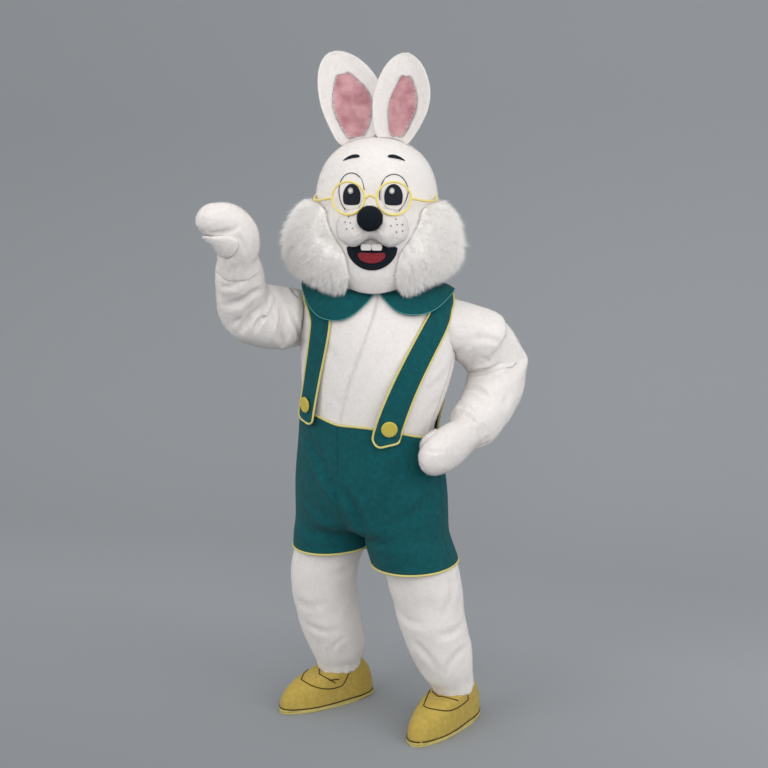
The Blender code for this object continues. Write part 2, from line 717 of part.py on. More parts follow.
# Middle of the straps from the front end, over the shoulder, down to the back of the waistband: a ring of
# the torso, degrees from the centre front for each strap, and how far off the torso it lies.
STRAP = [
    Strap(0.62, 35, 42, 0.0225),
    Strap(1.00, 34, 41, 0.0225),
    Strap(1.60, 33, 41, 0.0225),
    Strap(2.60, 34, 42, 0.012),
    Strap(3.60, 36, 44, 0.005),
    Strap(4.60, 38, 49, 0.004),
    Strap(5.30, 43, 56, 0.004),
    Strap(6.05, 57, 64, 0.006),
    Strap(6.75, 85, 92, 0.0083),
    Strap(6.50, 110, 112, 0.008),
    Strap(5.60, 123, 126, 0.007),
    Strap(4.40, 130, 132, 0.006),
    Strap(3.20, 135, 135, 0.006),
    Strap(2.10, 138, 138, 0.014),
    Strap(1.20, 140, 140, 0.0225),
    Strap(0.60, 140, 140, 0.0225),
]
STRAP_START = {RIGHT: 1.75, LEFT: 0.0}
BUTTON_PLACE = {RIGHT: 2.45, LEFT: 1.75}
STRAP_HALF_WIDTH = 0.034
STRAP_RUNS = ((5, 5), (10.5, 10), (15, 4))  # place in the table where each run ends, and its steps
TAB_ROWS = (0.0, 0.007, 0.018)  # distances from the tab's end where its round corners are cut
BUTTON_RADIUS, BUTTON_THICKNESS = 0.025, 0.007
BUTTON_LIFT = {RIGHT: 0.003, LEFT: 0.0008}


def strap_middle(side, place):
    """Ring, angle and gap of a strap's middle line."""
    row = at(STRAP, place)
    return row.ring, (FRONT + row.left if side == LEFT else FRONT - row.right), row.gap


def beside(ring, angle, way, distance, gap):
    """The point off the torso at a distance along its surface from a ring and angle."""
    step_ring, step_angle = 0.02, 0.5
    here = torso_point(ring, angle)
    by_ring = (torso_point(ring + step_ring, angle) - here) / step_ring
    by_angle = (torso_point(ring, angle + step_angle) - here) / step_angle
    a, b, c = by_ring.dot(by_ring), by_ring.dot(by_angle), by_angle.dot(by_angle)
    d, e = by_ring.dot(way), by_angle.dot(way)
    determinant = a * c - b * b
    ring += distance * (d * c - e * b) / determinant
    angle += distance * (e * a - d * b) / determinant
    return torso_point(ring, angle) + torso_normal(ring, angle) * gap


def torso_normal(ring, angle):
    normal = surface_normal(torso_point, ring, angle, *TORSO_STEP)
    return normal if normal.dot(torso_point(ring, angle) - CHEST) > 0 else -normal


def strap_grid(side):
    """Rows along the strap, each of four points across it, with a rounded tab at the front end."""
    places, start = [], STRAP_START[side]
    for end, count in STRAP_RUNS:
        places += steps(start, end, count)[:-1]
        start = end
    places.append(start)
    line = [strap_middle(side, place) for place in places]
    points = [torso_point(ring, angle) + torso_normal(ring, angle) * gap for ring, angle, gap in line]
    first = (points[1] - points[0]).length
    lengths = [0.0, TAB_ROWS[1] / first, TAB_ROWS[2] / first]
    tab = [strap_middle(side, places[0] + (places[1] - places[0]) * length) for length in lengths]
    line = tab + line[1:]
    points = [torso_point(ring, angle) + torso_normal(ring, angle) * gap for ring, angle, gap in line]
    grid = []
    for i, (ring, angle, gap) in enumerate(line):
        ahead = points[min(i + 1, len(points) - 1)] - points[max(i - 1, 0)]
        across = ahead.cross(torso_normal(ring, angle)).normalized()
        half = STRAP_HALF_WIDTH * (0.58, 0.86, 1.0)[min(i, 2)]
        grid.append([beside(ring, angle, across, half * t, gap) for t in (-1, -0.33, 0.33, 1)])
    return grid


def edge_path(lower, upper, out):
    """A path round the long edges and the tab of a strap, a little way out from them."""
    def middle(i, j):
        return (lower[i][j] + upper[i][j]) / 2, (upper[i][j] - lower[i][j]).normalized()

    last = len(lower[0]) - 1
    outline = [middle(i, 0) for i in range(len(lower) - 1, -1, -1)]
    outline += [middle(0, j) for j in range(1, last)]
    outline += [middle(i, last) for i in range(len(lower))]
    path = []
    for i, (point, normal) in enumerate(outline):
        along = outline[min(i + 1, len(outline) - 1)][0] - outline[max(i - 1, 0)][0]
        path.append(point + along.cross(normal).normalized() * out)
    return path


def make_straps(parent):
    for side, hand in ((RIGHT, "right"), (LEFT, "left")):
        lower = strap_grid(side)
        upper = moved_out(lower, FELT, away_from=CHEST)
        shell(f"strap_{hand}", upper, lower, TEAL, parent)
        path = edge_path(lower, upper, PIPING + 2 * SEAM)
        tube(f"strap_piping_{hand}", path, PIPING, YELLOW_TRIM, parent, sides=4)
        ring, angle, gap = strap_middle(side, BUTTON_PLACE[side])
        normal = torso_normal(ring, angle)
        foot = torso_point(ring, angle) + normal * (gap + FELT + BUTTON_LIFT[side])
        button(f"button_{hand}", foot, normal, parent)


def button(name, foot, normal, parent):
    """A flat button with a rounded rim, foot on the strap."""
    turn = normal.to_track_quat("Z", "Y").to_matrix()
    profile = [(0.93, 0.0), (1.0, 0.35), (0.96, 0.8), (0.80, 1.0)]
    rings = []
    for wide, high in profile:
        ring = []
        for j in range(20):
            angle = 2 * math.pi * j / 20
            flat = Vector((BUTTON_RADIUS * wide * math.cos(angle), BUTTON_RADIUS * wide * math.sin(angle), 0))
            ring.append(foot + turn @ (flat + Vector((0, 0, BUTTON_THICKNESS * high))))
        rings.append(ring)
    block(name, rings, YELLOW_TRIM, parent)


def block(name, rings, finish, parent):
    """A full solid through rings, flat at both ends."""
    columns = len(rings[0])
    points = [p for ring in rings for p in ring]
    faces = []
    for i in range(len(rings) - 1):
        for j in range(columns):
            k = (j + 1) % columns
            faces.append((i * columns + j, i * columns + k, (i + 1) * columns + k, (i + 1) * columns + j))
    faces.append(tuple(range(columns))[::-1])
    faces.append(tuple((len(rings) - 1) * columns + j for j in range(columns)))
    if volume(points, faces) < 0:
        faces = [face[::-1] for face in faces]
    return add_object(name, points, faces, finish, parent)


# ---------------------------------------------------------------- shoes

SHOE = {RIGHT: (-0.177, 0.109, -38), LEFT: (0.242, 0.062, -18)}  # ankle's x and y, and the turn of the toes
SHOE_HEEL, SHOE_TOE = 0.119, 0.232
HEEL_HALF_WIDTH, BALL_HALF_WIDTH = 0.058, 0.071
SOLE_THICKNESS, SOLE_EDGE = 0.012, 0.003
OPENING_HALF = (0.056, 0.064)
OPENING_HEIGHT, OPENING_TILT = 0.122, 0.14
SHOE_COLUMNS, SHOE_ROWS = 20, 6


def shoe_outline(angle):
    """The shoe's edge seen from above, with the toe at -Y, as a distance from the ankle's line."""
    c, s = math.cos(angle), math.sin(angle)
    length = SHOE_TOE if s < 0 else SHOE_HEEL
    forward = max(-s, 0)
    swell = math.sin(math.pi * min(forward, 1) ** 1.2 * 0.9)
    half = HEEL_HALF_WIDTH + (BALL_HALF_WIDTH - HEEL_HALF_WIDTH) * swell
    return Vector((half * math.copysign(abs(c) ** 0.8, c), length * math.copysign(abs(s) ** 0.95, s), 0))


def make_shoes(parent):
    for side, hand in ((RIGHT, "right"), (LEFT, "left")):
        x, y, turn = SHOE[side]
        foot = empty(f"foot_{hand}", (x, y, 0), (0, 0, turn), parent)
        rings = []
        for row in range(SHOE_ROWS + 1):
            rise = row / SHOE_ROWS
            ring = []
            for j in range(SHOE_COLUMNS):
                angle = 2 * math.pi * j / SHOE_COLUMNS
                edge = shoe_outline(angle)
                mouth = Vector((OPENING_HALF[0] * math.cos(angle), OPENING_HALF[1] * math.sin(angle), 0))
                swell = 1 - math.cos(rise * math.pi / 2)
                top = OPENING_HEIGHT + OPENING_TILT * mouth.y
                place = edge.lerp(mouth, swell)
                bottom = SOLE_THICKNESS + SEAM
                place.z = bottom + (top - bottom) * math.sin(rise * math.pi / 2) ** 0.9
                ring.append(place)
            rings.append(ring)
        inner = moved_out(rings, -FELT, around=True)
        for point in inner[0]:
            point.z = rings[0][0].z
        shell(f"shoe_{hand}", rings, inner, SHOE_FELT, foot, around=True)
        sole = []
        for high, spread in ((0, -0.002), (0.25, SOLE_EDGE), (0.8, SOLE_EDGE), (1, 0.001)):
            ring = []
            for j in range(SHOE_COLUMNS):
                edge = shoe_outline(2 * math.pi * j / SHOE_COLUMNS)
                place = edge + edge.normalized() * spread
                place.z = SOLE_THICKNESS * high
                ring.append(place)
            sole.append(ring)
        block(f"sole_{hand}", sole, SHOE_FELT, foot)


# ---------------------------------------------------------------- head

HEAD_PLACE, HEAD_TURN = (0.000, -0.014, 1.42), (0, 0.5, 16.2)
Skull = namedtuple("Skull", "height half_width front back")
# Heights above the head's own origin, from the neck opening to the crown.
SKULL = [
    Skull(0.036, 0.136, 0.152, 0.132),
    Skull(0.068, 0.160, 0.182, 0.152),
    Skull(0.130, 0.184, 0.196, 0.172),
    Skull(0.200, 0.194, 0.192, 0.186),
    Skull(0.265, 0.192, 0.184, 0.190),
    Skull(0.330, 0.182, 0.174, 0.184),
    Skull(0.385, 0.158, 0.154, 0.164),
    Skull(0.425, 0.120, 0.120, 0.130),
    Skull(0.450, 0.070, 0.072, 0.078),
    Skull(0.460, 0.018, 0.018, 0.020),
    Skull(0.4615, 0.001, 0.001, 0.001),
]
NECK_DIP = 0.046


def head_point(place, angle, out=0.0):
    row = at(SKULL, place)
    c, s = math.cos(math.radians(angle)), math.sin(math.radians(angle))
    depth = row.front if s < 0 else row.back
    dip = NECK_DIP * max(-s, 0) ** 2 * bell(place / 2.0)
    return Vector(((row.half_width + out) * c, (depth + out) * s, row.height - dip))


def on_face(x, height, out=0.0):
    """A point of the head's front near a given side distance and height, moved out square to it."""
    def surface(height, x):
        place = place_of(SKULL, height)
        sideways = min(max(x / at(SKULL, place).half_width, -0.97), 0.97)
        return head_point(place, -math.degrees(math.acos(sideways)))

    normal = surface_normal(surface, height, x, 0.004, 0.004)
    return surface(height, x) + (normal if normal.y < 0 else -normal) * out


def make_head(parent):
    places = [0, 0.5, 1, 1.7, 2.4, 3.2, 4, 5, 6, 7, 8, 9, 10]
    for centre, face in ((FRONT, "front"), (BACK, "back")):
        grid = []
        for place in places:
            seam = min(math.degrees(SEAM / 2 / at(SKULL, place).half_width), 10)
            grid.append([(place, centre + a) for a in steps(-90 + seam, 90 - seam, 10)])
        outer, inner = both_faces(head_point, grid, HEAD_FOAM, Vector((0, 0, 0.2)), (0.02, 0.5))
        shell(f"head_{face}", outer, inner, PLUSH_WHITE, parent)


Patch = namedtuple("Patch", "x height half_width half_height")
LIFT = 0.0011


def patch(name, shape, outline, out, thickness, finish, parent, columns=16, inner_rings=(1.0, 0.6, 0.25)):
    """A flat piece that lies on the face: rings of its outline, drawn in towards its middle."""
    lower, upper = [], []
    for size in inner_rings:
        ring = []
        for j in range(columns):
            x, z = outline(2 * math.pi * j / columns)
            ring.append((shape.x + shape.half_width * size * x, shape.height + shape.half_height * size * z))
        lower.append([on_face(x, z, out) for x, z in ring])
        upper.append([on_face(x, z, out + thickness) for x, z in ring])
    return shell(name, upper, lower, finish, parent, around=True, close_end=True)


def oval(turn):
    return math.cos(turn), math.sin(turn)


def arched(turn):
    """Round along the top, with its foot cut to a shallow arch."""
    x, z = math.cos(turn), math.sin(turn)
    return x, z if z > 0 else -0.92 * abs(z) ** 0.6 + 0.22 * (1 - x * x)


def bowl(turn):
    """Round below, with a shallow dip along the top."""
    x, z = math.cos(turn), math.sin(turn)
    return x, z if z < 0 else 0.5 * abs(z) ** 0.6 - 0.25 * (1 - x * x)


def smile(turn):
    """Flat along the top, rounded to a point-free bowl below."""
    x, z = math.cos(turn), math.sin(turn)
    return x, z * 0.12 - 0.10 * x * x + 0.1 if z > 0 else z


EYE_X, EYE_HEIGHT = 0.062, 0.294
FACE_SIDES = ((RIGHT, "right", -1), (LEFT, "left", 1))


def make_face(parent):
    for _, hand, sign in FACE_SIDES:
        white = Patch(sign * EYE_X, EYE_HEIGHT - 0.004, 0.036, 0.056)
        pupil = Patch(sign * (EYE_X - 0.002), EYE_HEIGHT - 0.018, 0.026, 0.036)
        spark = Patch(sign * (EYE_X - 0.003) - 0.004, EYE_HEIGHT - 0.002, 0.0075, 0.0085)
        brow = Patch(sign * (EYE_X + 0.004), EYE_HEIGHT + 0.098, 0.025, 0.0040)
        patch(f"eye_{hand}", white, oval, LIFT, 0.002, WHITE_FELT, parent, 18)
        patch(f"pupil_{hand}", pupil, arched, LIFT + 0.0027, 0.002, GLOSS_BLACK, parent, 16)
        patch(f"eye_spark_{hand}", spark, oval, LIFT + 0.0052, 0.0015, WHITE_FELT, parent, 10, (1.0,))

        def stroke(turn):
            """A curved stroke, low and thin at its outer end."""
            x, z = math.cos(turn), math.sin(turn)
            return x, z * (1 - 0.45 * sign * x) - 1.1 * x * x - 1.3 * sign * x

        patch(f"brow_{hand}", brow, stroke, LIFT, 0.002, BLACK, parent, 14, (1.0,))
    patch("mouth", Patch(0, 0.128, 0.074, 0.048), smile, LIFT, 0.003, BLACK, parent, 18)
    patch("tongue", Patch(0, 0.1115, 0.039, 0.0170), bowl, LIFT + 0.0036, 0.004, RED, parent, 14)


MUZZLE = Patch(0, 0.1855, 0.104, 0.0575)
MUZZLE_DEPTH = 0.0605
MUZZLE_COLUMNS, MUZZLE_RINGS = 20, 5
CLEFT_DEPTH, CLEFT_HALF = 0.016, 0.035
NOTCH_HEIGHT, NOTCH_HALF = 0.028, 0.050
MUZZLE_SEAT, MUZZLE_OVER_EYES = 0.0050, 0.0034
EYE_FOOT = 0.228


def make_muzzle(parent):
    """A stuffed pad of two lobes, flat-backed on the face, with a cleft under the nose."""
    lower, upper = [], []
    for k in range(MUZZLE_RINGS + 1):
        size = math.cos(math.radians(82 * k / MUZZLE_RINGS))
        rise = MUZZLE_DEPTH * math.sin(math.radians(82 * k / MUZZLE_RINGS)) ** 0.8
        low, high = [], []
        for j in range(MUZZLE_COLUMNS):
            turn = 2 * math.pi * j / MUZZLE_COLUMNS
            c, s = math.cos(turn), math.sin(turn)
            squareness = 0.78 if s < 0 else 0.88
            x = MUZZLE.half_width * math.copysign(abs(c) ** 0.78, c) * size
            z = MUZZLE.height + MUZZLE.half_height * math.copysign(abs(s) ** squareness, s) * size
            if s < 0:
                z += NOTCH_HEIGHT * bell(x / NOTCH_HALF) * size
            cleft = CLEFT_DEPTH * bell(x / CLEFT_HALF) * (rise / MUZZLE_DEPTH)
            over_eyes = min(max(1 + (z - EYE_FOOT) / 0.025, 0), 1)
            point = on_face(x, z, MUZZLE_SEAT + MUZZLE_OVER_EYES * over_eyes)
            low.append(point)
            high.append(point + Vector((0, -1, 0)) * (rise + 0.004 - cleft))
        lower.append(low)
        upper.append(high)
    shell("muzzle", upper, lower, PLUSH_WHITE, parent, around=True, close_end=True)


def ball(name, middle, radii, finish, parent, columns=12, rows=7):
    rings = []
    for k in range(rows + 1):
        lean = math.radians(-84 + 168 * k / rows)
        ring = []
        for j in range(columns):
            turn = 2 * math.pi * j / columns
            spot = Vector((math.cos(lean) * math.cos(turn), -math.sin(lean), math.cos(lean) * math.sin(turn)))
            ring.append(middle + Vector((spot.x * radii[0], spot.y * radii[1], spot.z * radii[2])))
        rings.append(ring)
    return block(name, rings, finish, parent)


Tooth = namedtuple("Tooth", "half_width top bottom depth")
TOOTH = Tooth(0.0155, 0.1382, 0.1200, 0.012)
TOOTH_SEAT = 0.0055


def make_teeth(parent):
    for _, hand, sign in FACE_SIDES:
        middle = sign * (TOOTH.half_width + SEAM / 2)
        rings = []
        for share in steps(0, 1, 3):
            height = TOOTH.top + (TOOTH.bottom - TOOTH.top) * share
            half = TOOTH.half_width * (1 - 0.18 * max(share - 0.66, 0) / 0.34)
            back = on_face(0, height).y - TOOTH_SEAT
            ring = []
            for x, y in ((-1, 0), (1, 0), (1, -0.7), (0.6, -1), (-0.6, -1), (-1, -0.7)):
                ring.append(Vector((middle + half * x, back + TOOTH.depth * y, height)))
            rings.append(ring)
        block(f"tooth_{hand}", rings, WHITE_FELT, parent)


# ---------------------------------------------------------------- ears and cheek fur

Leaf = namedtuple("Leaf", "height half_width thickness cup lean")
# Along one ear from its root to its tip.
EAR = [
    Leaf(0.000, 0.046, 0.026, 0.022, 0.000),
    Leaf(0.045, 0.068, 0.026, 0.030, 0.002),
    Leaf(0.100, 0.086, 0.024, 0.034, 0.006),
    Leaf(0.150, 0.090, 0.022, 0.032, 0.012),
    Leaf(0.200, 0.080, 0.020, 0.024, 0.018),
    Leaf(0.245, 0.058, 0.018, 0.014, 0.024),
    Leaf(0.272, 0.032, 0.014, 0.005, 0.028),
    Leaf(0.282, 0.010, 0.012, 0.001, 0.029),
]
EAR_ROWS, EAR_COLUMNS = 10, 6
EAR_PLACE = {RIGHT: (-0.063, 0.014, 0.436), LEFT: (0.055, -0.022, 0.438)}
EAR_TURN = {RIGHT: (4, -15, 10), LEFT: (4, 6, -16)}
EAR_BOW = {RIGHT: 0.016, LEFT: 0.016}
EAR_STRETCH = {RIGHT: (1.02, 1.03), LEFT: (0.95, 0.96)}  # across and along
LINING_FOOT, LINING_TIP = 0.7, 4.2  # places in the ear's table
EAR_GAP = 0.0012
LINING_WIDTH = {RIGHT: 0.62, LEFT: 0.49}


def ear_point(side, row, across):
    """Front face of an ear: cupped, with its side edges forward."""
    wider, taller = EAR_STRETCH[side]
    bow = EAR_BOW[side] * math.sin(math.pi * row.height / EAR[-1].height)
    forward = -row.cup * across ** 2 + row.lean
    return Vector((row.half_width * wider * across + bow, forward, row.height * taller))


def crown_height(x, y):
    """Height of the crown's outer face above a point in plan."""
    low, high = 4.0, len(SKULL) - 1.0
    for _ in range(30):
        place = (low + high) / 2
        row = at(SKULL, place)
        inside = (x / row.half_width) ** 2 + (y / (row.front if y < 0 else row.back)) ** 2 < 1
        low, high = (place, high) if inside else (low, place)
    return at(SKULL, low).height


def make_ears(parent):
    for side, hand in ((RIGHT, "right"), (LEFT, "left")):
        ear = empty(f"ear_{hand}", EAR_PLACE[side], EAR_TURN[side], parent)
        bpy.context.view_layer.update()
        back_to_ear = ear.matrix_basis.inverted()

        def seated(point):
            place = ear.matrix_basis @ point
            place.z = max(place.z, crown_height(place.x, place.y) + EAR_GAP)
            return back_to_ear @ place

        front, back = [], []
        for place in steps(0, len(EAR) - 1, EAR_ROWS):
            row = at(EAR, place)
            low, high = [], []
            for across in steps(-1, 1, EAR_COLUMNS):
                point = ear_point(side, row, across)
                rounded = row.thickness * (0.35 + 0.65 * math.sqrt(max(1 - across * across, 0)))
                low.append(seated(point))
                high.append(seated(point + Vector((0, rounded, 0))))
            front.append(low)
            back.append(high)
        shell(f"ear_outer_{hand}", front, back, PLUSH_WHITE, ear)
        lining, under = [], []
        for share in steps(0, 1, 7):
            row = at(EAR, LINING_FOOT + share * (LINING_TIP - LINING_FOOT))
            width = LINING_WIDTH[side] * math.sin(math.radians(38 + 122 * share)) ** 0.8
            line = [ear_point(side, row, across * width) for across in steps(-1, 1, 4)]
            under.append([p - Vector((0, SEAM + 0.0016, 0)) for p in line])
            lining.append([p - Vector((0, 0.004, 0)) for p in line])
        shell(f"ear_inner_{hand}", lining, under, PINK, ear)


Puff = namedtuple("Puff", "angle bottom top reach hang")
# Each row is one line of the cheek fur from the front edge backwards: degrees from the face's middle, the
# lowest and highest place in the head's table, how far the fur stands out, and how far its low edge hangs.
CHEEK = [
    Puff(27, 0.9, 2.6, 0.012, 0.010),
    Puff(36, 0.25, 3.2, 0.044, 0.020),
    Puff(48, 0.10, 3.6, 0.068, 0.018),
    Puff(63, 0.10, 3.85, 0.084, 0.006),
    Puff(80, 0.12, 3.9, 0.088, 0.000),
    Puff(97, 0.16, 3.75, 0.080, 0.000),
    Puff(112, 0.40, 3.4, 0.056, 0.000),
    Puff(125, 0.9, 2.8, 0.014, 0.000),
]
CHEEK_ROWS = 7
CHEEK_FULLNESS = {RIGHT: 1.0, LEFT: 0.80}
CHEEK_GAP = 0.0030
ROUND_MUZZLE, MUZZLE_PLACE = 14, 2.85  # degrees that the front edge draws back, and where in the head's table


def make_cheeks(parent):
    for side, hand, sign in FACE_SIDES:
        outer, inner = [], []
        for place in steps(0, len(CHEEK) - 1, 8):
            row = at(CHEEK, place)
            far, near = [], []
            for share in steps(0, 1, CHEEK_ROWS):
                ring = row.bottom + (row.top - row.bottom) * share
                back = ROUND_MUZZLE * bell((ring - MUZZLE_PLACE) / 1.3)
                back *= bell((row.angle - CHEEK[0].angle) / 30)
                angle = FRONT + sign * (row.angle + back)
                rounding = 0.10 + 0.90 * math.sin(math.pi * (0.04 + 0.92 * share)) ** 0.55
                stand = row.reach * CHEEK_FULLNESS[side] * rounding
                droop = Vector((0, 0, -0.018 * math.sin(math.pi * share) - row.hang * (1 - share) ** 2))
                near.append(head_point(ring, angle, CHEEK_GAP))
                far.append(head_point(ring, angle, CHEEK_GAP + stand) + droop)
            outer.append(far)
            inner.append(near)
        shell(f"cheek_fur_{hand}", outer, inner, FUR_WHITE, parent)


# ---------------------------------------------------------------- spectacles

RIM = Patch(0.066, 0.270, 0.049, 0.047)
RIM_DEPTH = -0.251
WIRE_RADIUS = 0.0026


def make_spectacles(parent):
    for side, hand, sign in FACE_SIDES:
        ring = []
        for j in range(22):
            turn = 2 * math.pi * j / 22
            x = sign * RIM.x + RIM.half_width * math.cos(turn)
            z = RIM.height + RIM.half_height * math.sin(turn)
            ring.append(Vector((x, RIM_DEPTH + 0.5 * x * x / 0.2, z)))
        tube(f"rim_{hand}", ring, WIRE_RADIUS, WIRE, parent, closed=True, sides=4)
        hinge = ring[0 if side == LEFT else 11] + Vector((sign * 1.5 * WIRE_RADIUS, 0.001, 0))
        ear = head_point(place_of(SKULL, RIM.height + 0.012), FRONT + sign * 75, WIRE_RADIUS / 2)
        bow = []
        for share in steps(0, 1, 7):
            place = hinge.lerp(ear, share)
            place.x += sign * 0.022 * math.sin(math.pi * share)
            place.z -= 0.010 * math.sin(math.pi * share)
            bow.append(place)
        tube(f"temple_{hand}", bow, WIRE_RADIUS, WIRE, parent)
    arch = []
    gap = RIM.x - RIM.half_width - 1.7 * WIRE_RADIUS - SEAM
    for share in steps(-1, 1, 6):
        rise = 1 - share * share
        arch.append(Vector((gap * share, RIM_DEPTH - 0.004 * rise, RIM.height + 0.008 * rise)))
    tube("bridge", arch, WIRE_RADIUS, WIRE, parent)


# ---------------------------------------------------------------- the costume put together

def main():
    for obj in list(bpy.data.objects):
        bpy.data.objects.remove(obj, do_unlink=True)
    wearer = empty("wearer", (0, 0, -SHOULDER_HEIGHT))
    make_torso(wearer)
    make_sleeves(wearer)
    make_mitts(wearer)
    make_legs(wearer)
    make_shorts(wearer)
    make_collar(wearer)
    make_straps(wearer)
    make_shoes(wearer)
    head = empty("head", HEAD_PLACE, HEAD_TURN, wearer)
    make_head(head)
    make_face(head)
    make_muzzle(head)
    ball("nose", Vector((0, -0.2742, 0.212)), (0.037, 0.028, 0.036), BLACK, head)
    make_teeth(head)
    make_ears(head)
    make_cheeks(head)
    make_spectacles(head)


main()
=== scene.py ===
import math
from collections import namedtuple

import bmesh
import bpy
import numpy as np
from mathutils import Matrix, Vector, noise
from mathutils.bvhtree import BVHTree
from mathutils.kdtree import KDTree


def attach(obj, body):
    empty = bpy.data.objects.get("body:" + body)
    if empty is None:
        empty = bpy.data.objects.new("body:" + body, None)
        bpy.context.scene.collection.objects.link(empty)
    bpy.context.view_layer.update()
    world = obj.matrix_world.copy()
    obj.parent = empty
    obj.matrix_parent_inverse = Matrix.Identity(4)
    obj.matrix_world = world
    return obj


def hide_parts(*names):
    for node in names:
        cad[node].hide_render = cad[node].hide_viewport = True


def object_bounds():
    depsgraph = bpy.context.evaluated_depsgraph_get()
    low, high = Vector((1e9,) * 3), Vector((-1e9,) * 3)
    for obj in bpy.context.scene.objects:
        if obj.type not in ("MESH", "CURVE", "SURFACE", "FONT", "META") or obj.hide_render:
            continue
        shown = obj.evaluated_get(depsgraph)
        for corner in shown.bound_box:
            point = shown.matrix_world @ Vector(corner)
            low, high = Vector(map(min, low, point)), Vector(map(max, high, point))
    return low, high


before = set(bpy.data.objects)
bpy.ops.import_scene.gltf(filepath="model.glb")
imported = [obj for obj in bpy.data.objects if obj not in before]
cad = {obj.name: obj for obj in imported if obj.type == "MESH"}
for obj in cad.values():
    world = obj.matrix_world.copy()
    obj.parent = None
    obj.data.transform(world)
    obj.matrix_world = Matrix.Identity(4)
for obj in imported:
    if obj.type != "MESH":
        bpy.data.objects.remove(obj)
cad_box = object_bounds()

# ---------------------------------------------------------------- studio
# A pale paper sweep runs under the shoes and up behind the costume. Two big soft boxes light it
# from the front, and the camera stands a little to the wearer's left, at chest height.
FLOOR_LEVEL = cad_box[0].z
CAMERA_PLACE = Vector((1.219, -3.291, 0.180))
CAMERA_WAY = Vector((-0.339, 0.931, -0.137)).normalized()
CAMERA_LENS, SENSOR, PICTURE = 52.27, 36.0, 768
SWEEP_WIDTH, SWEEP_FRONT, SWEEP_BACK = 16.0, -7.0, 4.2
SWEEP_HEIGHT, SWEEP_RADIUS = 6.0, 2.4

camera = bpy.data.objects.new("camera", bpy.data.cameras.new("camera"))
camera.data.lens, camera.data.sensor_width = CAMERA_LENS, SENSOR
camera.location = CAMERA_PLACE
camera.rotation_euler = CAMERA_WAY.to_track_quat("-Z", "Y").to_euler()
bpy.context.scene.collection.objects.link(camera)
bpy.context.scene.camera = camera
bpy.context.scene.view_settings.view_transform = "Standard"


def surface_finish(name, roughness=1.0, **inputs):
    """A material, its Principled shader and its node tree."""
    material = bpy.data.materials.new(name)
    material.use_nodes = True
    shader = material.node_tree.nodes["Principled BSDF"]
    shader.inputs["Roughness"].default_value = roughness
    for socket, value in inputs.items():
        shader.inputs[socket.replace("_", " ")].default_value = value
    return material, shader, material.node_tree


def linear(red, green, blue):
    """A colour read off a screen, from 0 to 255, as the light it stands for."""
    shares = [value / 255 for value in (red, green, blue)]
    return tuple(s / 12.92 if s <= 0.04045 else ((s + 0.055) / 1.055) ** 2.4 for s in shares) + (1.0,)


# The paper's colour is a painted shade: lighter behind the costume and darker towards the front of the sweep,
# near the camera.
paper, paper_shader, paper_tree = surface_finish("studio_paper", 0.9)
paper_place = paper_tree.nodes.new("ShaderNodeTexCoord")
paper_parts = paper_tree.nodes.new("ShaderNodeSeparateXYZ")
paper_shade_mask = paper_tree.nodes.new("ShaderNodeMapRange")
paper_shade_mask.inputs["From Min"].default_value = 0.8
paper_shade_mask.inputs["From Max"].default_value = -1.4
shading = paper_tree.nodes.new("ShaderNodeMix")
shading.data_type = "RGBA"
shading.inputs[6].default_value = linear(154, 158, 162)
shading.inputs[7].default_value = linear(122, 125, 129)
paper_tree.links.new(paper_place.outputs["Object"], paper_parts.inputs[0])
paper_tree.links.new(paper_parts.outputs["Y"], paper_shade_mask.inputs["Value"])
paper_tree.links.new(paper_shade_mask.outputs["Result"], shading.inputs["Factor"])
paper_tree.links.new(shading.outputs[2], paper_shader.inputs["Base Color"])
bend = [(SWEEP_FRONT, 0.0), (SWEEP_BACK - SWEEP_RADIUS, 0.0)]
for degrees in range(10, 91, 10):
    turn = math.radians(degrees)
    depth = SWEEP_BACK - SWEEP_RADIUS * (1 - math.sin(turn))
    bend.append((depth, SWEEP_RADIUS * (1 - math.cos(turn))))
bend.append((SWEEP_BACK, SWEEP_HEIGHT))
sweep = bmesh.new()
row = [sweep.verts.new((-SWEEP_WIDTH / 2, y, FLOOR_LEVEL + z)) for y, z in bend]
edges = [sweep.edges.new(pair) for pair in zip(row, row[1:])]
pulled = bmesh.ops.extrude_edge_only(sweep, edges=edges)["geom"]
moved = [v for v in pulled if isinstance(v, bmesh.types.BMVert)]
bmesh.ops.translate(sweep, verts=moved, vec=(SWEEP_WIDTH, 0, 0))
bmesh.ops.recalc_face_normals(sweep, faces=sweep.faces)
floor = bpy.data.objects.new("paper_sweep", bpy.data.meshes.new("paper_sweep"))
sweep.to_mesh(floor.data)
sweep.free()
floor.data.materials.append(paper)
for polygon in floor.data.polygons:
    polygon.use_smooth = True
bpy.context.scene.collection.objects.link(floor)

world = bpy.data.worlds.new("studio_air")
world.use_nodes = True
world.node_tree.nodes["Background"].inputs["Color"].default_value = (1.0, 1.0, 1.0, 1.0)
world.node_tree.nodes["Background"].inputs["Strength"].default_value = 0.80
bpy.context.scene.world = world

LAMP_AIM = Vector((0, 0, -0.35))
SoftBox = namedtuple("SoftBox", "name place size power")
for box in (
    SoftBox("key_box", (1.7, -3.9, 1.2), 2.4, 40),
    SoftBox("fill_box", (-2.4, -3.7, 1.3), 2.8, 48),
    SoftBox("side_box", (4.0, -1.2, 1.0), 2.6, 54),
    SoftBox("top_box", (0.4, -0.4, 3.4), 2.6, 10),
):
    lamp = bpy.data.lights.new(box.name, "AREA")
    lamp.size, lamp.energy = box.size, box.power
    holder = bpy.data.objects.new(box.name, lamp)
    holder.location = box.place
    aim = LAMP_AIM - Vector(box.place)
    holder.rotation_euler = aim.to_track_quat("-Z", "Y").to_euler()
    bpy.context.scene.collection.objects.link(holder)

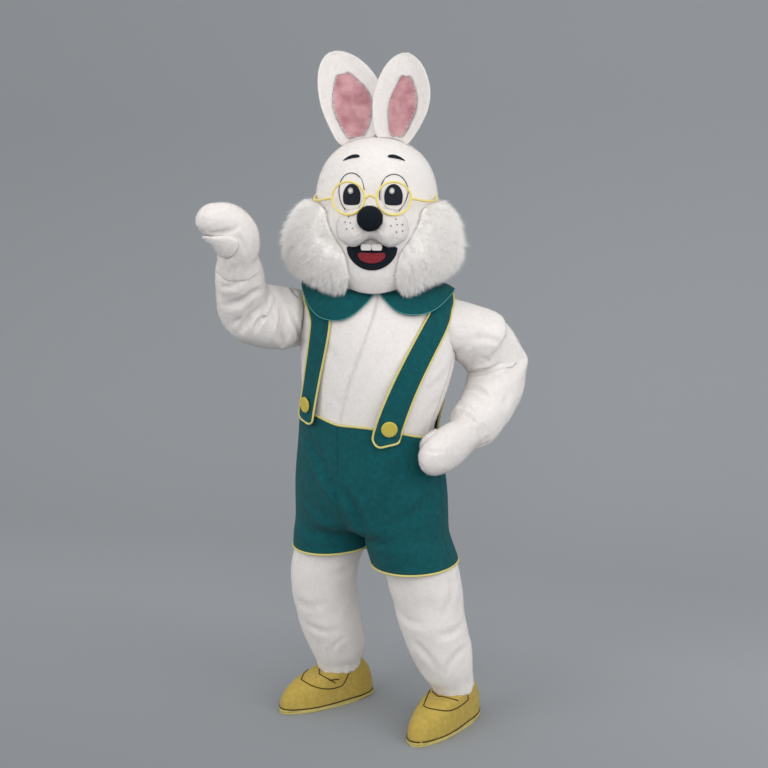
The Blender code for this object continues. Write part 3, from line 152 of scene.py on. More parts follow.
# ---------------------------------------------------------------- jumpsuit body
# The body of the suit is cut from short white plush in four panels, sewn up the middle and down
# each side. The nap lies downwards, and the cloth pulls in soft creases from the arms.
SIDES = ("right", "left")  # the wearer's
PLUSH_WALL = 0.005
LEAP = 0.06  # a drawn line that jumps further has left the cloth
SHARP = 62  # degrees between two faces that meet at a cut edge
PLUSH_COLOUR = linear(231, 226, 223)
Eye = namedtuple("Eye", "place way")
FRONT_EYE = Eye(CAMERA_PLACE, CAMERA_WAY)
BACK_EYE = Eye(*(Vector((-part.x, -part.y, part.z)) for part in FRONT_EYE))
Crease = namedtuple("Crease", "line width depth")  # points in the eye's picture, then metres


def sight(eye, x, y):
    """The way from an eye through a point of its square picture."""
    right = eye.way.cross(Vector((0, 0, 1))).normalized()
    up = right.cross(eye.way)
    reach = CAMERA_LENS / SENSOR * PICTURE
    return (eye.way + right * (x - PICTURE / 2) / reach + up * (PICTURE / 2 - y) / reach).normalized()


def merged(node):
    """A node's mesh with its loose triangles joined up, and paired into quads again."""
    flat, square = math.radians(50), math.radians(70)
    bm = bmesh.new()
    bm.from_mesh(cad[node].data)
    bmesh.ops.remove_doubles(bm, verts=bm.verts, dist=2e-5)
    bmesh.ops.join_triangles(bm, faces=bm.faces, angle_face_threshold=flat, angle_shape_threshold=square)
    return bm


def outer_side(bm):
    """Keeps the outer face of a wall of cloth, with any sharp folds that only it surrounds."""
    sheets, unseen = [], set(bm.faces)
    while unseen:
        sheet, reached = set(), [unseen.pop()]
        while reached:
            face = reached.pop()
            sheet.add(face)
            for edge in face.edges:
                for other in edge.link_faces:
                    if other in unseen and edge.calc_face_angle() < math.radians(SHARP):
                        unseen.remove(other)
                        reached.append(other)
        sheets.append(sheet)
    sheets.sort(key=lambda sheet: -sum(face.calc_area() for face in sheet))
    outer, inner = sheets[0], sheets[1]
    rest = set(bm.faces) - outer - inner
    while rest:
        group, reached, borders = set(), [rest.pop()], set()
        while reached:
            face = reached.pop()
            group.add(face)
            for other in {other for edge in face.edges for other in edge.link_faces}:
                if other in rest:
                    rest.remove(other)
                    reached.append(other)
                elif other not in group:
                    borders.add(other)
        if borders and not borders & inner:
            outer = outer | group
    bmesh.ops.delete(bm, geom=[face for face in bm.faces if face not in outer], context="FACES")
    return bm


def rounded(name, bm, levels=2, sharp=None):
    """A smooth piece whose surface runs through every corner of a coarse mesh."""
    if sharp is not None:
        crease = bm.edges.layers.float.new("crease_edge")
        for edge in bm.edges:
            if len(edge.link_faces) == 2 and edge.calc_face_angle() > math.radians(sharp):
                edge[crease] = 1.0
    mesh = bpy.data.meshes.new(name)
    bm.to_mesh(mesh)
    bm.free()
    piece = bpy.data.objects.new(name, mesh)
    bpy.context.scene.collection.objects.link(piece)
    smooth = piece.modifiers.new("rounding", "SUBSURF")
    smooth.levels = smooth.render_levels = levels
    smooth.boundary_smooth = "PRESERVE_CORNERS"
    corners = np.array([v.co for v in mesh.vertices])
    cage = corners.copy()
    for _ in range(3):
        mesh.vertices.foreach_set("co", cage.ravel())
        mesh.update()
        shown = piece.evaluated_get(bpy.context.evaluated_depsgraph_get()).data
        reached = np.array([v.co for v in shown.vertices[: len(corners)]])
        cage += corners - reached
    mesh.vertices.foreach_set("co", cage.ravel())
    mesh.update()
    finished = bpy.data.meshes.new_from_object(piece.evaluated_get(bpy.context.evaluated_depsgraph_get()))
    piece.modifiers.clear()
    piece.data = finished
    for polygon in finished.polygons:
        polygon.use_smooth = True
    return piece


def corners_of(piece):
    """The places and normals of a piece's corners, one row for each."""
    count = len(piece.data.vertices)
    places, normals = np.empty(count * 3), np.empty(count * 3)
    piece.data.vertices.foreach_get("co", places)
    piece.data.vertex_normals.foreach_get("vector", normals)
    return places.reshape(-1, 3), normals.reshape(-1, 3)


def move_corners(piece, places):
    """Puts a piece's corners at new places."""
    piece.data.vertices.foreach_set("co", places.ravel())
    piece.data.update()


def joined_tree(pieces):
    """The surfaces of several pieces as one, for finding where a line meets them."""
    corners, faces = [], []
    for piece in pieces:
        first = len(corners)
        corners += [v.co.copy() for v in piece.data.vertices]
        faces += [[first + i for i in polygon.vertices] for polygon in piece.data.polygons]
    return BVHTree.FromPolygons(corners, faces)


def flowing(points, steps=5):
    """A smooth line through points of a plane or of space."""
    points = np.array(points, dtype=float)
    padded = np.vstack([2 * points[0] - points[1], points, 2 * points[-1] - points[-2]])
    line = []
    for a, b, c, d in zip(padded, padded[1:], padded[2:], padded[3:]):
        for t in np.linspace(0, 1, steps, endpoint=False):
            bow, twist = a - 2.5 * b + 2 * c - 0.5 * d, -a + 3 * b - 3 * c + d
            line.append(b + (c - a) * t / 2 + bow * t**2 + twist * t**3 / 2)
    return np.array(line + [points[-1]])


def laid(tree, line, eye, lift=0.0):
    """A drawn line of an eye's picture laid on the surface that the eye sees there."""
    spots = []
    for x, y in flowing(line):
        spot, way, _, _ = tree.ray_cast(eye.place, sight(eye, x, y))
        if spot is not None and (not spots or np.linalg.norm(spots[-1] - np.array(spot)) < LEAP):
            spots.append(np.array(spot + way * lift))
    return np.array(spots)


def fold(pieces, creases, eye=FRONT_EYE):
    """Sinks soft troughs into cloth along lines that the eye sees, with a low ridge beside each."""
    tree = joined_tree(pieces)
    lines = [(crease, laid(tree, crease.line, eye)) for crease in creases]
    for piece in pieces:
        places, normals = corners_of(piece)
        sunk = np.zeros(len(places))
        for crease, line in lines:
            distance, side, along = (np.full(len(places), value) for value in (9.0, 0.0, 0.0))
            for k, (start, end) in enumerate(zip(line, line[1:])):
                run = end - start
                share = np.clip((places - start) @ run / max(run @ run, 1e-12), 0, 1)
                away = places - (start + share[:, None] * run)
                length = np.linalg.norm(away, axis=1)
                nearer = length < distance
                distance[nearer] = length[nearer]
                along[nearer] = (k + share[nearer]) / (len(line) - 1)
                across = np.cross(run / max(np.linalg.norm(run), 1e-9), normals)
                side[nearer] = np.sign((across * away).sum(1))[nearer]
            trough = np.exp(-((distance / crease.width) ** 2))
            off = distance * side / crease.width
            ridge = np.exp(-((off - 1.7) ** 2)) + 0.5 * np.exp(-((off + 1.7) ** 2))
            taper = np.sin(np.pi * np.clip(along * 0.9 + 0.05, 0, 1)) ** 0.6
            sunk += crease.depth * (trough - 0.5 * ridge) * taper
        move_corners(piece, places - normals * sunk[:, None])


def pile_group():
    """Shader group: the mottling and the bump of a pile, at two scales."""
    group = bpy.data.node_groups.new("pile", "ShaderNodeTree")
    for name, kind, way in (
        ("Colour", "NodeSocketColor", "INPUT"),
        ("Shade", "NodeSocketColor", "INPUT"),
        ("Tuft Scale", "NodeSocketFloat", "INPUT"),
        ("Amount", "NodeSocketFloat", "INPUT"),
        ("Colour", "NodeSocketColor", "OUTPUT"),
        ("Height", "NodeSocketFloat", "OUTPUT"),
    ):
        group.interface.new_socket(name=name, in_out=way, socket_type=kind)
    nodes, links = group.nodes, group.links
    start, end = nodes.new("NodeGroupInput"), nodes.new("NodeGroupOutput")
    place = nodes.new("ShaderNodeTexCoord")
    tuft, hair = nodes.new("ShaderNodeTexNoise"), nodes.new("ShaderNodeTexNoise")
    finer = nodes.new("ShaderNodeMath")
    finer.operation, finer.inputs[1].default_value = "MULTIPLY", 6.0
    links.new(place.outputs["Object"], tuft.inputs["Vector"])
    links.new(place.outputs["Object"], hair.inputs["Vector"])
    links.new(start.outputs["Tuft Scale"], tuft.inputs["Scale"])
    links.new(start.outputs["Tuft Scale"], finer.inputs[0])
    links.new(finer.outputs[0], hair.inputs["Scale"])
    spread = nodes.new("ShaderNodeMapRange")
    spread.inputs["From Min"].default_value = 0.35
    spread.inputs["From Max"].default_value = 0.65
    links.new(tuft.outputs["Fac"], spread.inputs["Value"])
    amount = nodes.new("ShaderNodeMath")
    amount.operation = "MULTIPLY"
    links.new(spread.outputs["Result"], amount.inputs[0])
    links.new(start.outputs["Amount"], amount.inputs[1])
    mix = nodes.new("ShaderNodeMix")
    mix.data_type = "RGBA"
    links.new(amount.outputs[0], mix.inputs["Factor"])
    links.new(start.outputs["Colour"], mix.inputs[6])
    links.new(start.outputs["Shade"], mix.inputs[7])
    both = nodes.new("ShaderNodeMath")
    both.operation = "MULTIPLY_ADD"
    both.inputs[1].default_value = 0.5
    links.new(hair.outputs["Fac"], both.inputs[0])
    links.new(tuft.outputs["Fac"], both.inputs[2])
    links.new(mix.outputs[2], end.inputs["Colour"])
    links.new(both.outputs[0], end.inputs["Height"])
    return group


PILE = pile_group()


def pile_finish(name, colour, shade, tuft_scale, amount, bump, sheen=0.35, roughness=0.95):
    """The finish of a plush, felt, thread or wire: two mottled colours over a fine relief."""
    material, shader, tree = surface_finish(name, roughness, Sheen_Weight=sheen, Sheen_Roughness=0.6)
    shader.inputs["Specular IOR Level"].default_value = 0.15
    pile = tree.nodes.new("ShaderNodeGroup")
    pile.node_tree = PILE
    for socket, value in zip(("Colour", "Shade", "Tuft Scale", "Amount"), (colour, shade, tuft_scale, amount)):
        pile.inputs[socket].default_value = value
    relief = tree.nodes.new("ShaderNodeBump")
    relief.inputs["Distance"].default_value = bump
    relief.inputs["Strength"].default_value = 0.8
    tree.links.new(pile.outputs["Colour"], shader.inputs["Base Color"])
    tree.links.new(pile.outputs["Height"], relief.inputs["Height"])
    tree.links.new(relief.outputs["Normal"], shader.inputs["Normal"])
    return material


plush = pile_finish("white_plush", PLUSH_COLOUR, linear(221, 216, 212), 110, 0.5, 0.0005)
torso = []
for side in SIDES:
    for panel in ("front", "back"):
        node = f"torso_{panel}_{side}"
        torso.append(rounded(f"body_{panel}_{side}", outer_side(merged(node)), 2))
fold(torso, [
    Crease(((318, 330), (330, 352), (343, 372)), 0.012, 0.0034),
    Crease(((326, 392), (338, 402), (352, 404)), 0.011, 0.0024),
    Crease(((458, 352), (440, 380), (420, 396)), 0.012, 0.0040),
    Crease(((458, 384), (440, 398), (424, 416)), 0.010, 0.0034),
    Crease(((350, 330), (352, 362), (350, 398), (352, 424)), 0.008, 0.0014),
    Crease(((400, 334), (392, 352), (380, 366)), 0.012, 0.0020),
])
fold(torso, [
    Crease(((330, 330), (352, 356), (372, 366)), 0.013, 0.0040),
    Crease(((440, 340), (418, 366), (396, 376)), 0.013, 0.0040),
    Crease(((340, 392), (362, 404), (388, 404)), 0.012, 0.0030),
    Crease(((430, 392), (412, 408), (396, 412)), 0.011, 0.0028),
], BACK_EYE)

# ---------------------------------------------------------------- sleeves
# Each sleeve is a tube of the same plush, set into the armhole and bent at the elbow, where the
# cloth piles up in soft rolls on the inside of the bend. Elastic draws its end in at the wrist.
HEM_TUCK, HEM_WIDTH = 0.0012, 0.008  # how far, and over what width, a gathered edge is drawn in


def open_edges(piece):
    """The open edges of a piece, each as a chain of its corners' numbers."""
    uses = {}
    for polygon in piece.data.polygons:
        for key in polygon.edge_keys:
            uses[key] = uses.get(key, 0) + 1
    beside = {}
    for (a, b), count in uses.items():
        if count == 1:
            beside.setdefault(a, []).append(b)
            beside.setdefault(b, []).append(a)
    chains = []
    while beside:
        chain = [next(iter(beside))]
        while True:
            onward = [v for v in beside.pop(chain[-1], []) if v in beside]
            if not onward:
                break
            chain.append(onward[0])
        chains.append(chain)
    return chains


def near_line(places, starts, ends):
    """The nearest point, and its distance, to each place on a set of straight runs."""
    runs = ends - starts
    share = np.einsum("psk,sk->ps", places[:, None] - starts[None], runs)
    share /= np.maximum((runs**2).sum(1), 1e-12)
    spots = starts[None] + np.clip(share, 0, 1)[:, :, None] * runs[None]
    away = np.linalg.norm(places[:, None] - spots, axis=2)
    best = away.argmin(1)
    return spots[np.arange(len(places)), best], away[np.arange(len(places)), best]


def close_seams(pieces, reach, sink=0.0):
    """Draws the open edges of neighbouring panels together along one smooth, slightly sunk seam."""
    for turn in range(3):
        rims = []
        for piece in pieces:
            places, normals = corners_of(piece)
            chains = open_edges(piece)
            starts = np.concatenate([places[chain] for chain in chains])
            ends = np.concatenate([places[chain[1:] + chain[:1]] for chain in chains])
            rims.append((piece, places, normals, chains, starts, ends))
        for piece, places, normals, chains, _, _ in rims:
            starts = np.concatenate([rest[4] for rest in rims if rest[0] is not piece])
            ends = np.concatenate([rest[5] for rest in rims if rest[0] is not piece])
            moved = places.copy()
            for chain in chains:
                spots, away = near_line(places[chain], starts, ends)
                close = away < reach
                line = np.where(close[:, None], (places[chain] + spots) / 2, places[chain])
                held = ~(close & np.roll(close, 1) & np.roll(close, -1))
                for _ in range(4 if turn < 2 else 0):
                    middle = (np.roll(line, 1, axis=0) + np.roll(line, -1, axis=0)) / 2
                    line = np.where(held[:, None], line, (line + middle) / 2)
                moved[chain] = line - normals[chain] * (close * sink * (turn == 2))[:, None]
            move_corners(piece, moved)


def rumple(piece, height, spacing, seed):
    """Gives cloth the slight unevenness that it has between its creases."""
    places, normals = corners_of(piece)
    lift = np.array([noise.noise(Vector(p) / spacing + Vector((seed, 0, 0))) for p in places])
    move_corners(piece, places + normals * (lift * height)[:, None])


def ring_near(piece, spot):
    """The corners along the open edge of a tube that lies nearest to a spot."""
    places, _ = corners_of(piece)
    rims = open_edges(piece)
    return places[min(rims, key=lambda rim: np.linalg.norm(places[rim].mean(0) - np.array(spot)))]


def from_ring(places, ring):
    """How far each place is from a closed ring of points."""
    return near_line(places, ring, np.roll(ring, -1, axis=0))[1]


def join_rings(one, other, reach):
    """Draws the open ends of two tubes together where they meet, and the cloth beside them too."""
    ring = ring_near(one, other.data.vertices[0].co)
    ring = ring_near(one, ring_near(other, ring.mean(0)).mean(0))
    rings = [ring, ring_near(other, ring.mean(0))]
    for piece, mine, theirs in ((one, rings[0], rings[1]), (other, rings[1], rings[0])):
        spots, _ = near_line(mine, theirs, np.roll(theirs, -1, axis=0))
        pull = (spots - mine) / 2
        places, _ = corners_of(piece)
        away = np.linalg.norm(places[:, None] - mine[None], axis=2)
        nearest, away = away.argmin(1), away.min(1)
        hold = np.clip(1 - away / reach, 0, 1)
        move_corners(piece, places + pull[nearest] * (hold * hold * (3 - 2 * hold))[:, None])
    return ring_near(one, ring.mean(0))


def pleat(piece, ring, reach, height, count, seed):
    """Small uneven pleats that run off from a gathered edge."""
    places, normals = corners_of(piece)
    middle = ring.mean(0)
    wide, high, _ = np.linalg.svd(ring - middle)[2]
    angle = np.arctan2((places - middle) @ high, (places - middle) @ wide)
    drift = np.array([noise.noise(Vector((math.cos(a), math.sin(a), seed))) for a in angle])
    swing = np.sin(count * angle + 5 * drift) * (0.65 + 0.9 * drift)
    away = from_ring(places, ring)
    lift = height * swing * np.exp(-((away / reach) ** 2)) - HEM_TUCK * np.exp(-((away / HEM_WIDTH) ** 2))
    move_corners(piece, places + normals * lift[:, None])


def give_wall(piece, wall):
    """Thickens a sheet inwards from its outer face."""
    solid = piece.modifiers.new("wall", "SOLIDIFY")
    solid.thickness, solid.offset = wall, -1.0
    solid.use_even_offset = False


def dress(piece, node, material):
    """Gives a piece its material, hangs it on the root body and hides the node that it replaces."""
    piece.data.materials.append(material)
    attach(piece, "root")
    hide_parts(node)


def finish_cloth(piece, node, material, slot, wall, flat, area=None, held="stretched", rests_on=()):
    """Gives a panel of cloth its wall and its finish."""
    give_wall(piece, wall)
    dress(piece, node, material)


def strew(piece, count, seed):
    """Places, normals and chance numbers for things strewn evenly over a piece's faces."""
    chance = np.random.default_rng(seed)
    piece.data.calc_loop_triangles()
    corners = np.empty(len(piece.data.loop_triangles) * 3, dtype=np.int32)
    piece.data.loop_triangles.foreach_get("vertices", corners)
    corners = corners.reshape(-1, 3)
    places, normals = corners_of(piece)
    a, b, c = (places[corners[:, k]] for k in range(3))
    sizes = np.linalg.norm(np.cross(b - a, c - a), axis=1)
    picked = chance.choice(len(corners), count, p=sizes / sizes.sum())
    u, v = chance.random(count), chance.random(count)
    over = u + v > 1
    u[over], v[over] = 1 - u[over], 1 - v[over]
    w = 1 - u - v
    spots = a[picked] * w[:, None] + b[picked] * u[:, None] + c[picked] * v[:, None]
    na, nb, nc = (normals[corners[picked, k]] for k in range(3))
    ways = na * w[:, None] + nb * u[:, None] + nc * v[:, None]
    return spots, ways / np.linalg.norm(ways, axis=1)[:, None], chance


def placed(name, mesh, material):
    """Puts sewn-on trim or pile into the scene as a piece of its own."""
    mesh.materials.append(material)
    piece = bpy.data.objects.new(name, mesh)
    bpy.context.scene.collection.objects.link(piece)
    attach(piece, "root")
    return piece


def blades(name, roots, tips, widths, normals, material, bend=None, twist=0.35):
    """One mesh of tapering blades, each from its root to its tip, shaded like the cloth under it."""
    along = tips - roots
    along /= np.maximum(np.linalg.norm(along, axis=1), 1e-9)[:, None]
    chance = np.random.default_rng(len(roots))
    across = np.cross(along, normals + chance.normal(scale=twist, size=roots.shape))
    across /= np.maximum(np.linalg.norm(across, axis=1), 1e-9)[:, None]
    across[(np.cross(across, along) * normals).sum(1) < 0] *= -1
    half = across * (widths / 2)[:, None]
    if bend is None:
        corners = np.stack([roots - half, roots + half, tips], axis=1)
        shape = np.array([[0, 1, 2]])
    else:
        middle = (roots + tips) / 2 + bend
        waist = half * 0.8
        corners = np.stack([roots - half, roots + half, middle + waist, middle - waist, tips], axis=1)
        shape = np.array([[0, 1, 2], [0, 2, 3], [3, 2, 4]])
    each = corners.shape[1]
    first = (np.arange(len(roots)) * each)[:, None, None]
    faces = (shape[None] + first).reshape(-1, 3)
    mesh = bpy.data.meshes.new(name)
    mesh.vertices.add(len(roots) * each)
    mesh.vertices.foreach_set("co", corners.ravel())
    mesh.loops.add(faces.size)
    mesh.loops.foreach_set("vertex_index", faces.ravel())
    mesh.polygons.add(len(faces))
    mesh.polygons.foreach_set("loop_start", np.arange(len(faces)) * 3)
    mesh.polygons.foreach_set("use_smooth", np.ones(len(faces), dtype=bool))
    mesh.update(calc_edges=True)
    mesh.normals_split_custom_set_from_vertices(np.repeat(normals, each, axis=0))
    return placed(name, mesh, material)


def nap(name, piece, count, length, material, lie=(0, 0, -1), width=0.0010, seed=1):
    """The short pile of plush cloth: blades that lean the way the nap lies."""
    spots, ways, chance = strew(piece, count, seed)
    lean = np.array(lie) * 0.6 + chance.normal(scale=0.35, size=spots.shape)
    flat = lean - ways * (lean * ways).sum(1)[:, None]
    out = flat / np.linalg.norm(flat, axis=1)[:, None] + ways * chance.uniform(0.35, 0.85, count)[:, None]
    reach = length * chance.uniform(0.55, 0.95, count)
    roots, tips = spots - ways * 0.0004, spots + out * reach[:, None]
    return blades(name, roots, tips, np.full(count, width), ways, material)


CUFF = 0.035  # how much of a sleeve or mitt gives where the two are sewn together
SLEEVE_CUT, SLEEVE_AREA = (0.56, 0.50), 0.24
BODY_CUT = (0.27, 0.56)
sleeves = {side: rounded(f"arm_{side}", outer_side(merged(f"sleeve_{side}")), 3) for side in SIDES}
mitts = {side: rounded(f"hand_{side}", outer_side(merged(f"mitt_{side}")), 2) for side in SIDES}
fold([sleeves["right"]], [
    Crease(((242, 330), (249, 318), (258, 309)), 0.010, 0.0100),
    Crease(((256, 330), (259, 322), (266, 316)), 0.008, 0.0060),
    Crease(((274, 296), (280, 308), (282, 320), (280, 333), (283, 345)), 0.011, 0.0110),
    Crease(((289, 284), (293, 290), (298, 296)), 0.009, 0.0070),
    Crease(((291, 311), (297, 326), (298, 336), (297, 346)), 0.009, 0.0080),
    Crease(((224, 306), (238, 303), (252, 294), (262, 289)), 0.012, 0.0060),
    Crease(((219, 286), (230, 287), (243, 281)), 0.010, 0.0040),
    Crease(((232, 324), (244, 316), (252, 306)), 0.009, 0.0035),
])
fold([sleeves["right"]], [
    Crease(((470, 300), (480, 318), (500, 332)), 0.012, 0.0070),
    Crease(((500, 286), (508, 306), (524, 318)), 0.012, 0.0070),
    Crease(((534, 292), (538, 304), (552, 312)), 0.010, 0.0050),
], BACK_EYE)
fold([sleeves["left"]], [
    Crease(((458, 352), (470, 341), (484, 338), (500, 342)), 0.010, 0.0050),
    Crease(((473, 346), (474, 356), (471, 370)), 0.009, 0.0040),
    Crease(((480, 356), (488, 361), (478, 367)), 0.008, 0.0035),
    Crease(((467, 374), (480, 372), (492, 370), (500, 366)), 0.010, 0.0095),
    Crease(((466, 388), (476, 388), (488, 396)), 0.009, 0.0090),
    Crease(((456, 404), (468, 408), (480, 418)), 0.009, 0.0070),
    Crease(((472, 316), (484, 322), (494, 330)), 0.012, 0.0028),
    Crease(((500, 384), (508, 394), (505, 406)), 0.012, 0.0040),
    Crease(((517, 346), (525, 360), (519, 378)), 0.020, -0.0070),
])
fold([sleeves["left"]], [
    Crease(((262, 318), (274, 330), (284, 352)), 0.012, 0.0070),
    Crease(((240, 352), (256, 366), (276, 374)), 0.012, 0.0075),
    Crease(((252, 390), (268, 396), (284, 398)), 0.010, 0.0060),
], BACK_EYE)
for piece in sleeves.values():
    rumple(piece, 0.0035, 0.05, 3)
close_seams(torso + list(sleeves.values()), 0.016)
for side, piece in sleeves.items():
    wrist = join_rings(piece, mitts[side], CUFF)
    pleat(piece, wrist, 0.020, 0.0034, 13, 3.1)
    pleat(mitts[side], wrist, 0.018, 0.0034, 13, 3.1)
for piece in torso:
    node = piece.name.replace("body", "torso")
    finish_cloth(piece, node, plush, "plush_white", PLUSH_WALL, BODY_CUT)
    nap(piece.name + "_pile", piece, 8000, 0.005, plush, seed=len(piece.name))
for side, piece in sleeves.items():
    finish_cloth(piece, f"sleeve_{side}", plush, "plush_white", PLUSH_WALL, SLEEVE_CUT, SLEEVE_AREA)
    nap(piece.name + "_pile", piece, 18000, 0.006, plush, seed=5)

# ---------------------------------------------------------------- mitts
# Mitts of the same plush, with the fingers in one bag and a lightly stuffed thumb sewn on. The
# cloth is gathered at the wrist, where mitt and sleeve are sewn together.
MITT_CUT, MITT_AREA = (0.40, 0.28), 0.09
THUMB_SWELL, THUMB_SEAT = 0.003, 0.40  # the pile's height, and the share of its way to the palm
fold([mitts["right"]], [
    Crease(((212, 233), (225, 232), (235, 229), (239, 225)), 0.007, 0.0065),
    Crease(((237, 236), (243, 243), (244, 251)), 0.007, 0.0040),
    Crease(((224, 268), (227, 260), (231, 254)), 0.005, 0.0030),
    Crease(((240, 268), (242, 260), (241, 252)), 0.005, 0.0030),
    Crease(((252, 266), (250, 258), (252, 250)), 0.005, 0.0025),
])
fold([mitts["left"]], [
    Crease(((437, 427), (444, 433), (449, 440)), 0.006, 0.0035),
    Crease(((452, 434), (454, 444), (458, 452)), 0.006, 0.0030),
    Crease(((424, 450), (434, 452), (444, 450)), 0.006, 0.0025),
])
for side, mitt in mitts.items():
    rumple(mitt, 0.002, 0.04, 9)
    finish_cloth(mitt, f"mitt_{side}", plush, "plush_white", PLUSH_WALL, MITT_CUT, MITT_AREA)
    nap(mitt.name + "_pile", mitt, 9000, 0.006, plush, seed=7)
    thumb = rounded(f"thumb_part_{side}", merged(f"thumb_{side}"), 2)
    places, normals = corners_of(thumb)
    mitt_tree = joined_tree([mitt])
    palm = np.array([mitt_tree.find_nearest(Vector(place))[0] for place in places])
    move_corners(thumb, places + normals * THUMB_SWELL + (palm - places) * THUMB_SEAT)
    dress(thumb, f"thumb_{side}", plush)
    nap(thumb.name + "_pile", thumb, 3000, 0.006, plush, seed=8)

# ---------------------------------------------------------------- suit legs
# Each leg of the suit is one panel of plush with a seam down its inner side. It hangs in wide soft
# folds and is drawn in over the shoe.
LEG_CUT, LEG_AREA = (0.74, 0.82), 0.52
LEG_SEAM = 0.0016
Ring = namedtuple("Ring", "height above width")  # a swelling that runs round the cloth above its hem
BLOUSE, SAG = Ring(0.009, 0.022, 0.017), Ring(0.014, 0.014, 0.018)
legs = {}
for side in SIDES:
    bm = outer_side(merged(f"leg_{side}"))
    bmesh.ops.remove_doubles(bm, verts=[v for v in bm.verts if v.is_boundary], dist=LEG_SEAM)
    legs[side] = rounded(f"suit_leg_{side}", bm, 3)
fold([legs["right"]], [
    Crease(((357, 560), (347, 570), (334, 574)), 0.014, 0.0035),
    Crease(((356, 592), (362, 604), (360, 622), (352, 640)), 0.011, 0.0080),
    Crease(((296, 600), (308, 606), (324, 604)), 0.016, 0.0030),
    Crease(((306, 624), (318, 630), (332, 632)), 0.014, 0.0040),
    Crease(((318, 596), (330, 612), (338, 634)), 0.018, 0.0028),
    Crease(((330, 654), (336, 644), (346, 638)), 0.010, 0.0035),
])
fold([legs["left"]], [
    Crease(((424, 584), (426, 604), (420, 622)), 0.018, 0.0030),
    Crease(((450, 566), (452, 590), (446, 614)), 0.014, 0.0035),
    Crease(((398, 612), (410, 622), (426, 624)), 0.015, 0.0035),
    Crease(((466, 620), (454, 632), (440, 636)), 0.013, 0.0045),
    Crease(((414, 642), (426, 654), (436, 668)), 0.013, 0.0050),
    Crease(((468, 646), (456, 656), (446, 672)), 0.012, 0.0045),
])
for leg in legs.values():
    fold([leg], [
        Crease(((300, 590), (326, 600), (346, 594)), 0.014, 0.0045),
        Crease(((312, 622), (336, 632), (356, 622)), 0.013, 0.0055),
        Crease(((322, 648), (340, 654), (358, 646)), 0.011, 0.0050),
        Crease(((396, 596), (420, 606), (446, 598)), 0.014, 0.0045),
        Crease(((404, 628), (428, 640), (452, 630)), 0.013, 0.0055),
        Crease(((420, 656), (438, 666), (456, 660)), 0.011, 0.0050),
    ], BACK_EYE)
for side, piece in legs.items():
    rumple(piece, 0.004, 0.07, 4)
    foot = min((v.co for v in piece.data.vertices), key=lambda co: co.z)
    ankle = ring_near(piece, foot)
    places, normals = corners_of(piece)
    away = from_ring(places, ankle)
    out, down = (ring.height * np.exp(-(((away - ring.above) / ring.width) ** 2)) for ring in (BLOUSE, SAG))
    places += normals * out[:, None]
    places[:, 2] -= down
    move_corners(piece, places)
    pleat(piece, ring_near(piece, ankle.mean(0)), 0.030, 0.0030, 11, 5.7)
    finish_cloth(piece, f"leg_{side}", plush, "plush_white", PLUSH_WALL, LEG_CUT, LEG_AREA)
    nap(piece.name + "_pile", piece, 20000, 0.006, plush, seed=9)

# ---------------------------------------------------------------- shorts
# Teal felted cloth in four panels, with a yellow piping folded over the waist edge and each hem.
# A row of stitching runs beside the piping.
FELT_WALL = 0.003
SHORTS_CUT, SHORTS_AREA = (0.34, 0.42), 0.11
HEM_TOP, WAIST_FOOT = -0.79, -0.46  # stitching runs below the one and above the other
STITCH, STITCH_GAP, THREAD_RADIUS = 0.0045, 0.0025, 0.0006


def cords(name, paths, radius, material, sides=5):
    """Thin round cords laid along paths: stitches, drawn-on lines and corded edges."""
    corners, faces = [], []
    for path in paths:
        line = np.array(path, dtype=float)
        ahead = np.gradient(line, axis=0)
        ahead /= np.maximum(np.linalg.norm(ahead, axis=1), 1e-9)[:, None]
        across = np.cross(ahead[0], (0.31, 0.52, 0.80))
        first = len(corners)
        for place, way in zip(line, ahead):
            across = across - way * (across @ way)
            across /= np.linalg.norm(across)
            over = np.cross(way, across)
            for k in range(sides):
                turn = 2 * math.pi * k / sides
                corners.append(place + radius * (math.cos(turn) * across + math.sin(turn) * over))
        for step in range(len(line) - 1):
            base = first + step * sides
            for k in range(sides):
                after = (k + 1) % sides
                faces.append((base + k, base + after, base + sides + after, base + sides + k))
        faces.append(tuple(first + k for k in reversed(range(sides))))
        faces.append(tuple(first + (len(line) - 1) * sides + k for k in range(sides)))
    mesh = bpy.data.meshes.new(name)
    mesh.from_pydata(corners, [], faces)
    for polygon in mesh.polygons:
        polygon.use_smooth = len(polygon.vertices) == 4
    return placed(name, mesh, material)


def along_rim(piece, inset, lift, keep):
    """Paths on a panel that follow its open edges at a distance, where keep(place) is true."""
    places, normals = corners_of(piece)
    tree = joined_tree([piece])
    paths = []
    for chain in open_edges(piece):
        rim = places[chain]
        ahead = np.roll(rim, -1, axis=0) - np.roll(rim, 1, axis=0)
        inward = np.cross(normals[chain], ahead)
        inward /= np.maximum(np.linalg.norm(inward, axis=1), 1e-9)[:, None]
        path, starts = [], 0
        allowed = [keep(place) for place in rim]
        if not all(allowed) and any(allowed):
            starts = next(k for k in range(len(rim)) if allowed[k] and not allowed[k - 1])
        for k in list(range(starts, len(rim))) + list(range(starts)):
            if not allowed[k]:
                if len(path) > 3:
                    paths.append(path)
                path = []
                continue
            tries = [rim[k] + inward[k] * inset * way for way in (1, -1)]
            found = [tree.find_nearest(Vector(place)) for place in tries]
            spot, way, _, _ = min(found, key=lambda hit: hit[3])
            path.append(np.array(spot + way * lift))
        if len(path) > 3:
            paths.append(path)
    return paths


def stitches(paths, length, gap):
    """Cuts paths into the short runs of thread that show between the holes of a seam."""
    runs = []
    for path in paths:
        line = np.array(path)
        far = np.concatenate([[0], np.cumsum(np.linalg.norm(np.diff(line, axis=0), axis=1))])
        for start in np.arange(0, far[-1] - length, length + gap):
            marks = np.linspace(start, start + length, 2)
            runs.append(np.stack([np.interp(marks, far, line[:, k]) for k in range(3)], axis=1))
    return runs


